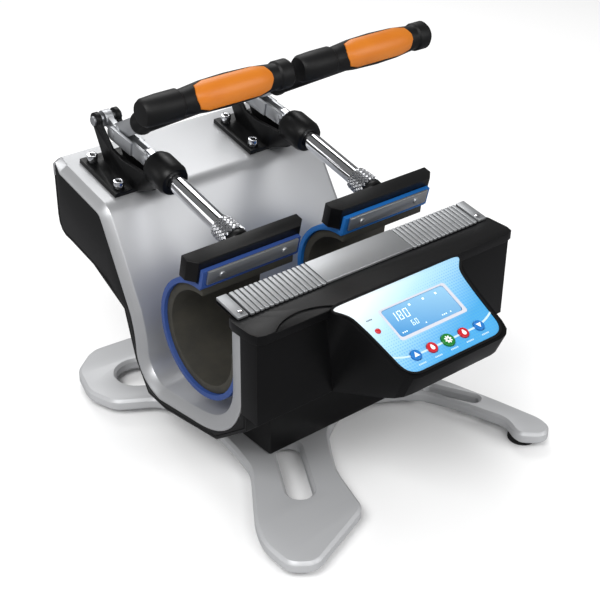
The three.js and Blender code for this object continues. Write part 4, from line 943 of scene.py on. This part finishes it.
# Place of a label from its button, number, width, height and pitch of its letters
LABEL = (-3.7, -9.2, 5, 1.1, 1.3, 1.6)
LAMP_X, LAMP_Y = -48, -33.9
LAMP_PROFILE = [(0.1, 2.6), (0.8, 2.5), (1.4, 2.0), (1.8, 1.2), (1.95, 0.3)]
# The same of the lamp's label
LAMP_LABEL = (-2.6, 11, 4, 1, 1.2, 1.5)
# Sizes of a lit figure as shares of its height, and the bars that each figure lights
FIGURE_WIDTH, FIGURE_BAR, FIGURE_GAP, FIGURE_PITCH, FIGURE_LEAN = 0.52, 0.13, 0.03, 0.72, 0.12
FIGURE_BARS = {"0": "abcdef", "1": "bc", "6": "acdefg", "8": "abcdefg"}


def figure_outlines(text, height, left, foot):
    """Outlines of the lit bars of display figures, leaning a little."""
    width, bar, gap = height * FIGURE_WIDTH, height * FIGURE_BAR, height * FIGURE_GAP
    middle = height / 2
    spans = {
        "a": (bar, height - bar, width - bar, height), "d": (bar, 0, width - bar, bar),
        "g": (bar, middle - bar / 2, width - bar, middle + bar / 2),
        "b": (width - bar, middle, width, height), "c": (width - bar, 0, width, middle),
        "f": (0, middle, bar, height), "e": (0, 0, bar, middle),
    }
    outlines = []
    for index, figure in enumerate(text):
        start = left + index * height * FIGURE_PITCH
        for name in FIGURE_BARS[figure]:
            x0, y0, x1, y1 = spans[name]
            corners = box_outline(x0 + gap, y0 + gap, x1 - gap, y1 - gap)
            outlines.append([(start + x + FIGURE_LEAN * y, foot + y) for x, y in corners])
    return outlines


def printed(name, outlines, lift, material, node="control_panel", thickness=0.08):
    """Thin raised prints with the given outlines on the panel."""
    mesh = plates(name, outlines, lift, lift + thickness, PANEL)
    return piece(name, mesh, material, node, stands_for=False)


def printed_ring(name, outer, inner, lift, material, thickness=0.12):
    """A thin raised frame between two outlines with equally many points."""
    lanes = ((outer, lift), (outer, lift + thickness), (inner, lift + thickness), (inner, lift))
    vertices = [(x, y, z) for outline, z in lanes for x, y in outline]
    mesh = mesh_from(name, vertices, loft_faces(4, len(outer), closed=True), PANEL)
    return piece(name, mesh, material, "control_panel", stands_for=False)


def box_outline(left, foot, right, top):
    return [(left, foot), (right, foot), (right, top), (left, top)]


def triangle_outline(x, y, size):
    return [(x - size, y - 0.7 * size), (x + size, y - 0.7 * size), (x, y + size)]


def drop_outline(x, y, size, sides=16):
    """A drop with its tip up."""
    radius, drop, tip = 0.62 * size, 0.25 * size, 0.9
    rows = []
    for side in range(sides):
        angle = math.tau * side / sides
        pull = 1 + tip * max(math.sin(angle), 0) ** 4
        rows.append((x + radius * math.cos(angle), y - drop + radius * math.sin(angle) * pull))
    return rows


def gear_outline(x, y, size, teeth=8):
    """A wheel with square teeth, each of two high and two low points."""
    rows = []
    for step in range(teeth * 4):
        angle = math.tau * (step + 0.5) / (teeth * 4)
        radius = size if step % 4 < 2 else size * 0.68
        rows.append((x + radius * math.cos(angle), y + radius * math.sin(angle)))
    return rows


def band_outline(path, width):
    """An outline of one width about a path."""
    left = offset_path(path, [width / 2] * len(path))
    right = offset_path(path, [-width / 2] * len(path))
    return left + right[::-1]


def widened(outline, reach):
    """The closed outline moved outwards."""
    rows = []
    for index, point in enumerate(outline):
        along = (Vector(outline[(index + 1) % len(outline)]) - Vector(outline[index - 1])).normalized()
        rows.append((point[0] - along.y * reach, point[1] + along.x * reach))
    return rows


def film_border():
    """The film's outline, mirrored from its right edge."""
    right = [(x * FILM_HALF_TOP, -down * FILM_LENGTH) for x, down in FILM_EDGE_SHARES]
    return rounded(right + [(-x, y) for x, y in reversed(right)], FILM_CORNER, share=0.3996, steps=8)


def film_mesh():
    """The printed membrane with its window and holes."""
    holes = [circle_outline(x, BUTTON_Y, radius) for x, radius in zip(BUTTON_XS, BUTTON_HOLES)]
    outlines = [film_border(), rounded(box_outline(*SCREEN), SCREEN_CORNER), *holes]
    middle = PANEL @ moved(0, 0, FILM_TOP - FILM_THICKNESS / 2)
    return filled_outlines("film", outlines, FILM_EDGE, FILM_THICKNESS, middle)


def screen_outline(margins):
    """The screen's outline, widened on each side by a margin."""
    left, foot, right, top = SCREEN
    wider = (left - margins[0], foot - margins[1], right + margins[2], top + margins[3])
    return rounded(box_outline(*wider), SCREEN_CORNER)


def build_display():
    """The display's frame, figures and small marks."""
    inner = screen_outline([-FRAME_INSET] * 4)
    printed_ring("display_frame", screen_outline(FRAME_MARGINS), inner, FILM_TOP, "rose")
    for name, *figures in FIGURES:
        printed(name, figure_outlines(*figures), SCREEN_TOP, "digit", "screen")
    marks = [box_outline(x, y, x + size, y + size) for lefts, y, size in MARKS for x in lefts]
    printed("display_marks", marks, SCREEN_TOP, "digit", "screen")


def print_label(name, x, y, label, material):
    """A row of small blocks in place of a word, by a button or the lamp."""
    from_x, from_y, letters, width, height, pitch = label
    block = plates("block", [box_outline(0, 0, width, height)], 0, INK_THICKNESS)
    row = grown(
        block, row_of_copies, PANEL @ moved(x + from_x, y + from_y, FILM_TOP),
        Count=letters, Pitch=(pitch * MM, 0, 0), Material=MATERIALS[material],
    )
    piece(name, row, material, "control_panel", stands_for=False)


# Symbols on the buttons and their sizes
BUTTON_SYMBOLS = (
    (triangle_outline, 2.6), (drop_outline, 3.0), (gear_outline, 3.6), (drop_outline, 3.0),
    (triangle_outline, -2.6),
)


def build_buttons():
    """The line behind the buttons, and the buttons with their symbols and labels."""
    bend = curve_points(*LINE_BEND, 8)
    path = bend + [(-x, y) for x, y in reversed(bend)]
    printed("button_line", [band_outline(path, LINE_WIDTH)], FILM_TOP, "pale_ink", thickness=INK_THICKNESS)
    rows = zip(BUTTON_XS, BUTTON_COLOURS, BUTTON_SYMBOLS)
    for number, (x, colour, (symbol, size)) in enumerate(rows, 1):
        node = f"button_{number}"
        dressed(node, colour, 0.6 * MM, 3, 40)
        printed(f"symbol_{number}", [symbol(x, BUTTON_Y, size)], BUTTON_TOP, "white_ink", node)
        print_label(f"label_{number}", x, BUTTON_Y, LABEL, "pale_ink")
    hub = circle_outline(0, BUTTON_Y, HUB_RADIUS, 12)
    printed("symbol_3_hub", [hub], BUTTON_TOP + 0.1, "green", "button_3")


def build_lamp():
    """The lamp's red dome and its printed label."""
    dome = lathe("lamp", LAMP_PROFILE, 24, PANEL @ moved(LAMP_X, LAMP_Y, 0) @ UPRIGHT)
    piece("lamp", dome, "red", "control_board", stands_for=False)
    print_label("lamp_label", LAMP_X, LAMP_Y, LAMP_LABEL, "dark_ink")


class PRESS_OT_control_panel(bpy.types.Operator):
    """Build the printed panel, the display, the lamp and the buttons"""

    bl_idname = "press.control_panel"
    bl_label = "Control panel"

    def execute(self, context):
        piece("membrane", film_mesh(), "film", "control_panel", limit=50)
        dressed("screen", "lens", 0.3 * MM)
        dressed("control_board", "board", 0.2 * MM)
        border = film_border()
        outer, inner = widened(border, LIP_OUTER), widened(border, LIP_INNER)
        printed_ring("panel_lip", outer, inner, LIP_LIFT, "grip", LIP_THICKNESS)
        build_display()
        build_buttons()
        build_lamp()
        return {"FINISHED"}


# The toggles, the rods and the handles, in the frame of each toggle

SOCKET_RADIUS = 2.35
SOCKET_DEPTH = 1.2
SOCKET_BELOW_HEAD = 0.35
ROD_RADIUS = 8
ROD_EDGE = 0.6
ROD_FRONT, ROD_REAR = -140, -50
ROD_STUD_RADIUS = 3.6
TONGUE_HALF = 2.5
TONGUE_HALF_HEIGHT = ROD_RADIUS - 0.3
TONGUE_CORNER = 6
ADJUSTER_CORE = [
    (-160.3, 9.6), (-160.3, 10.4), (-159.7, 11.1), (-158.8, 11.4), (-142, 10.2), (-141, 10.0), (-140.4, 9.6),
    (-140.3, 8.6),
]
KNURL_START = -158.6
KNURL_LENGTH = 16.6
KNURL_RADIUS = 11.7
KNURL_TAPER = -1.2
# Radius at which the diamonds fill the ring from side to side
DIAMOND_RADIUS = 11.6
# Depth and share of the pitch at the foot and at the top of a diamond
DIAMOND_LEVELS = ((-0.6, 0.98), (0.45, 0.62))
LEVER_RISE = math.radians(41.7)
SLEEVE_PROFILE = [
    (-188, 9), (-188, 10), (-50.5, 10), (-49.6, 10.5), (-48, 10.8), (-45.2, 10.8), (-44.4, 10.3), (-44, 9.3),
]


def socket_mesh(node, side):
    """A dark six-sided plate in the black casting finish at the floor of a chrome screw's socket: painted shade
    inside the socket.
    """
    low, high = box_within(node, toggle_matrix(side))
    head = Vector(((low.x + high.x) / 2, (low.y + high.y) / 2, high.z - SOCKET_BELOW_HEAD * MM))
    place = toggle_matrix(side) @ Matrix.Translation(head)
    return plates("socket", [circle_outline(0, 0, SOCKET_RADIUS, 6)], -SOCKET_DEPTH, 0, place)


class PRESS_OT_toggles(bpy.types.Operator):
    """Build the toggle castings, their screws, the levers and the links"""

    bl_idname = "press.toggles"
    bl_label = "Toggles"

    def execute(self, context):
        edge = context.scene.press_settings.edge
        for side in SIDES:
            dressed(f"toggle_base_{side}", "casting", edge)
            for index in range(1, 5):
                node = f"plate_screw_{index}_{side}"
                dressed(node, "chrome", edge * 0.6)
                # A dark plate in each screw's socket: painted shade
                piece(f"socket_{index}_{side}", socket_mesh(node, side), "casting", node, stands_for=False)
            dressed(f"lever_{side}", "steel", edge)
            dressed(f"link_{side}", "steel", edge * 0.6)
        return {"FINISHED"}


def rod_mesh(side):
    """A ground rod with a thin stud at its front and a flat tongue at its rear."""
    place = toggle_matrix(side)
    low, high = box_within(f"plunger_{side}", place)
    worn = ROD_RADIUS - ROD_EDGE
    profile = [
        (low.y / MM, ROD_STUD_RADIUS), (ROD_FRONT, ROD_STUD_RADIUS), (ROD_FRONT, worn),
        (ROD_FRONT + ROD_EDGE, ROD_RADIUS), (ROD_REAR - ROD_EDGE, ROD_RADIUS), (ROD_REAR, worn),
    ]
    rod = lathe("rod", profile, 64, place @ ALONG_Y)
    outline = box_outline(ROD_REAR - 1, -TONGUE_HALF_HEIGHT, high.y / MM, TONGUE_HALF_HEIGHT)
    tongue = slab("tongue", rounded(outline, TONGUE_CORNER), -TONGUE_HALF, TONGUE_HALF, place)
    return joined("rod", rod, tongue)


def knurl_mesh(side, around, rings):
    """Flat-topped diamonds that widen towards the clamp bar."""
    pitch = KNURL_LENGTH / (rings - 1)
    wide = math.tau * DIAMOND_RADIUS / around
    vertices = []
    for depth, share in DIAMOND_LEVELS:
        tall, broad = share * pitch, share * wide / 2
        vertices += [(depth, tall, 0), (depth, 0, broad), (depth, -tall, 0), (depth, 0, -broad)]
    diamond = mesh_from("diamond", vertices, loft_faces(2, 4))
    return grown(
        diamond, knurl_of_copies, toggle_matrix(side) @ moved(0, KNURL_START, 0),
        Around=around, Rings=rings, Radius=KNURL_RADIUS * MM, Flare=KNURL_TAPER * MM / (rings - 1),
        Pitch=pitch * MM, Material=MATERIALS["knurl"],
    )


class PRESS_OT_plungers(bpy.types.Operator):
    """Build the rods, the knurled adjusters, the lock rings and the clamp bars"""

    bl_idname = "press.plungers"
    bl_label = "Plungers"

    def execute(self, context):
        settings = context.scene.press_settings
        for side in SIDES:
            piece(f"plunger_{side}_finished", rod_mesh(side), "chrome", f"plunger_{side}", limit=30)
            node = f"adjuster_{side}"
            # The adjuster's core shows between the diamonds in the dark groove finish: painted shade at the floor
            # of the knurl
            core = lathe("core", ADJUSTER_CORE, 48, toggle_matrix(side) @ ALONG_Y)
            piece(node + "_core", core, "groove_shade", node, limit=40)
            knurl = knurl_mesh(side, settings.knurl_around, settings.knurl_rings)
            piece(node + "_knurl", knurl, "knurl", node, limit=15, stands_for=False)
            dressed(f"lock_ring_{side}", "casting", settings.edge)
            dressed(f"clamp_bar_{side}", "casting", settings.edge * 1.4)
            dressed(f"clamp_strip_{side}", "aluminium", settings.edge * 0.4)
        return {"FINISHED"}


def sleeve_mesh(side):
    """A round tube on the lever with a rolled lower end."""
    pin = Vector(JOINTS[f"link_{side}_pivot"]["pos_m"])
    pin.x = station_x(side)
    turn = Matrix.Rotation(TILT - LEVER_RISE, 4, "X")
    return lathe("sleeve", SLEEVE_PROFILE, 48, Matrix.Translation(pin) @ turn @ ALONG_Y)


class PRESS_OT_handles(bpy.types.Operator):
    """Build the lever sleeves, the grips and their inlays"""

    bl_idname = "press.handles"
    bl_label = "Handles"

    def execute(self, context):
        edge = context.scene.press_settings.edge
        for side in SIDES:
            node = f"lever_sleeve_{side}"
            piece(node + "_finished", sleeve_mesh(side), "grip", node, limit=50)
            dressed(f"grip_{side}", "grip", edge)
            dressed(f"grip_inlay_{side}", "orange", edge * 0.5)
        return {"FINISHED"}


# The heater mats, whose front flaps lie between these heights. The heights and the clamp bar's body go to each mat
# piece, but the piece stays where it is and nothing bends it

FLAP_FOOT_Z, FLAP_TOP_Z = 128, 186


class PRESS_OT_mats(bpy.types.Operator):
    """Build the heater mats, their liners and the strips on the front wall"""

    bl_idname = "press.mats"
    bl_label = "Heater mats"

    def execute(self, context):
        edge = context.scene.press_settings.edge
        for side in SIDES:
            middle = box_middle(f"mat_liner_{side}")
            low, high = (Vector((middle.x, middle.y, z * MM)) for z in (FLAP_FOOT_Z, FLAP_TOP_Z))
            bends = (BODY_OF[f"clamp_bar_{side}"], low, high)
            dressed(f"heater_mat_{side}", f"mat_{side}", edge * 0.6, bends=bends)
            dressed(f"mat_liner_{side}", "liner", edge * 0.6, bends=bends)
            dressed(f"front_strip_{side}", "aluminium", edge * 0.4)
        return {"FINISHED"}


class PRESS_OT_rear_fittings(bpy.types.Operator):
    """Build the mains inlet and the switch"""

    bl_idname = "press.rear_fittings"
    bl_label = "Rear fittings"

    def execute(self, context):
        dressed("mains_inlet", "abs", 0.5 * MM)
        dressed("switch_bezel", "abs", 0.5 * MM)
        dressed("switch_rocker", "red", 0.5 * MM)
        return {"FINISHED"}


# Floor, light and camera. Half the floor's width and the lights' places and sizes are in metres, and
# their power is in watts

CAMERA_PLACE = (-627.52, -725.29, 706.05)
CAMERA_RIGHT = Vector((0.772864, -0.634484, 0.010554))
CAMERA_UP = Vector((0.317647, 0.401216, 0.859143))
FLOOR_HALF = 6
# Strength of the white world to the camera, to reflections and to everything else
WORLD_SEEN, WORLD_REFLECTED, WORLD_LIGHT = 1.0, 0.18, 0.42
# Name, place, target, width, height and power
LIGHTS = (
    ("key", (-1.2, -0.5, 1.6), (0, 0, 0.15), 1.0, 0.8, 22),
    ("fill", (1.0, -1.5, 1.0), (0, 0, 0.15), 0.8, 1.0, 9),
    ("front", (-0.3, -1.5, 1.5), (0, -0.1, 0.1), 0.9, 0.6, 9),
    ("top", (0.45, 1.1, 1.5), (0, 0, 0.2), 1.3, 0.9, 14),
    ("side", (-1.7, 1.0, 0.6), (0, 0, 0.2), 0.5, 0.9, 3),
)


def area_light(name, place, target, width, height, power):
    light = bpy.data.lights.new(name, "AREA")
    light.shape = "RECTANGLE"
    light.size = width
    light.size_y = height
    light.energy = power
    obj = linked(name, light)
    obj.location = place
    obj.rotation_mode = "QUATERNION"
    obj.rotation_quaternion = (Vector(target) - Vector(place)).to_track_quat("-Z", "Y")


def pale_floor(colour):
    """A floor that is white to the camera, keeps the object's shadow and stays dim in reflections."""
    material = new_material("pale_floor", colour, 0.0, 0.9, {"Specular IOR Level": 0.1})
    rays = add_node(material.node_tree, "ShaderNodeLightPath")
    mix_colour(material, rays.outputs["Is Glossy Ray"], colour, linear("#848486"))
    return material


def build_floor(colour):
    work = bmesh.new()
    bmesh.ops.create_grid(work, x_segments=1, y_segments=1, size=FLOOR_HALF)
    floor = linked("floor", mesh_of("floor", work))
    floor.data.materials.append(pale_floor(colour))


def build_world(scene):
    """A white world that is brighter to the camera than to the object."""
    scene.world = scene.world or bpy.data.worlds.new("studio")
    scene.world.use_nodes = True
    tree = scene.world.node_tree
    tree.nodes.clear()
    rays = add_node(tree, "ShaderNodeLightPath")
    seen = add_node(tree, "ShaderNodeMath", {
        0: rays.outputs["Is Camera Ray"], 1: WORLD_SEEN - WORLD_LIGHT, 2: WORLD_LIGHT,
    }, operation="MULTIPLY_ADD")
    level = add_node(tree, "ShaderNodeMath", {
        0: rays.outputs["Is Glossy Ray"], 1: WORLD_REFLECTED - WORLD_LIGHT, 2: seen,
    }, operation="MULTIPLY_ADD")
    sky = add_node(tree, "ShaderNodeBackground", {"Color": (1.0, 1.0, 1.0, 1.0), "Strength": level})
    add_node(tree, "ShaderNodeOutputWorld", {"Surface": sky})


def build_camera(scene, lens):
    camera = bpy.data.cameras.new("camera")
    camera.lens = lens
    camera.sensor_width = 36
    camera.clip_start = 0.05
    holder = linked("camera", camera)
    behind = CAMERA_RIGHT.cross(CAMERA_UP).normalized()
    turn = Matrix((CAMERA_RIGHT, CAMERA_UP, behind)).transposed().to_4x4()
    holder.matrix_world = SHIFT @ moved(*CAMERA_PLACE) @ turn
    scene.camera = holder


class PRESS_OT_stage(bpy.types.Operator):
    """Build the floor, the lights and the camera"""

    bl_idname = "press.stage"
    bl_label = "Stage"

    def execute(self, context):
        settings = context.scene.press_stage
        build_floor((*settings.floor_colour, 1.0))
        build_world(context.scene)
        for row in LIGHTS:
            area_light(*row)
        build_camera(context.scene, settings.lens)
        context.scene.view_settings.view_transform = "Standard"
        return {"FINISHED"}


class PRESS_PT_panel(bpy.types.Panel):
    """Sizes, colours and steps of the mug press"""

    bl_idname = "PRESS_PT_panel"
    bl_label = "Mug press"
    bl_space_type = "VIEW_3D"
    bl_region_type = "UI"
    bl_category = "Mug press"

    def draw(self, context):
        column = self.layout.column()
        for name in PressSettings.__annotations__:
            column.prop(context.scene.press_settings, name)
        for name in StageSettings.__annotations__:
            column.prop(context.scene.press_stage, name)
        for operator in OPERATORS:
            column.operator(operator.bl_idname)


OPERATORS = (
    PRESS_OT_body, PRESS_OT_control_box, PRESS_OT_control_panel, PRESS_OT_toggles, PRESS_OT_plungers,
    PRESS_OT_handles, PRESS_OT_mats, PRESS_OT_rear_fittings, PRESS_OT_stage,
)
CLASSES = (PressSettings, StageSettings, *OPERATORS, PRESS_PT_panel)


def register():
    for cls in CLASSES:
        bpy.utils.register_class(cls)
    bpy.types.Scene.press_settings = bpy.props.PointerProperty(type=PressSettings)
    bpy.types.Scene.press_stage = bpy.props.PointerProperty(type=StageSettings)


def unregister():
    del bpy.types.Scene.press_stage
    del bpy.types.Scene.press_settings
    for cls in reversed(CLASSES):
        bpy.utils.unregister_class(cls)


def main():
    """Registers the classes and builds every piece."""
    register()
    make_materials(bpy.context.scene.press_settings)
    for operator in OPERATORS:
        module, name = operator.bl_idname.split(".")
        getattr(getattr(bpy.ops, module), name)()


if __name__ == "__main__":
    main()
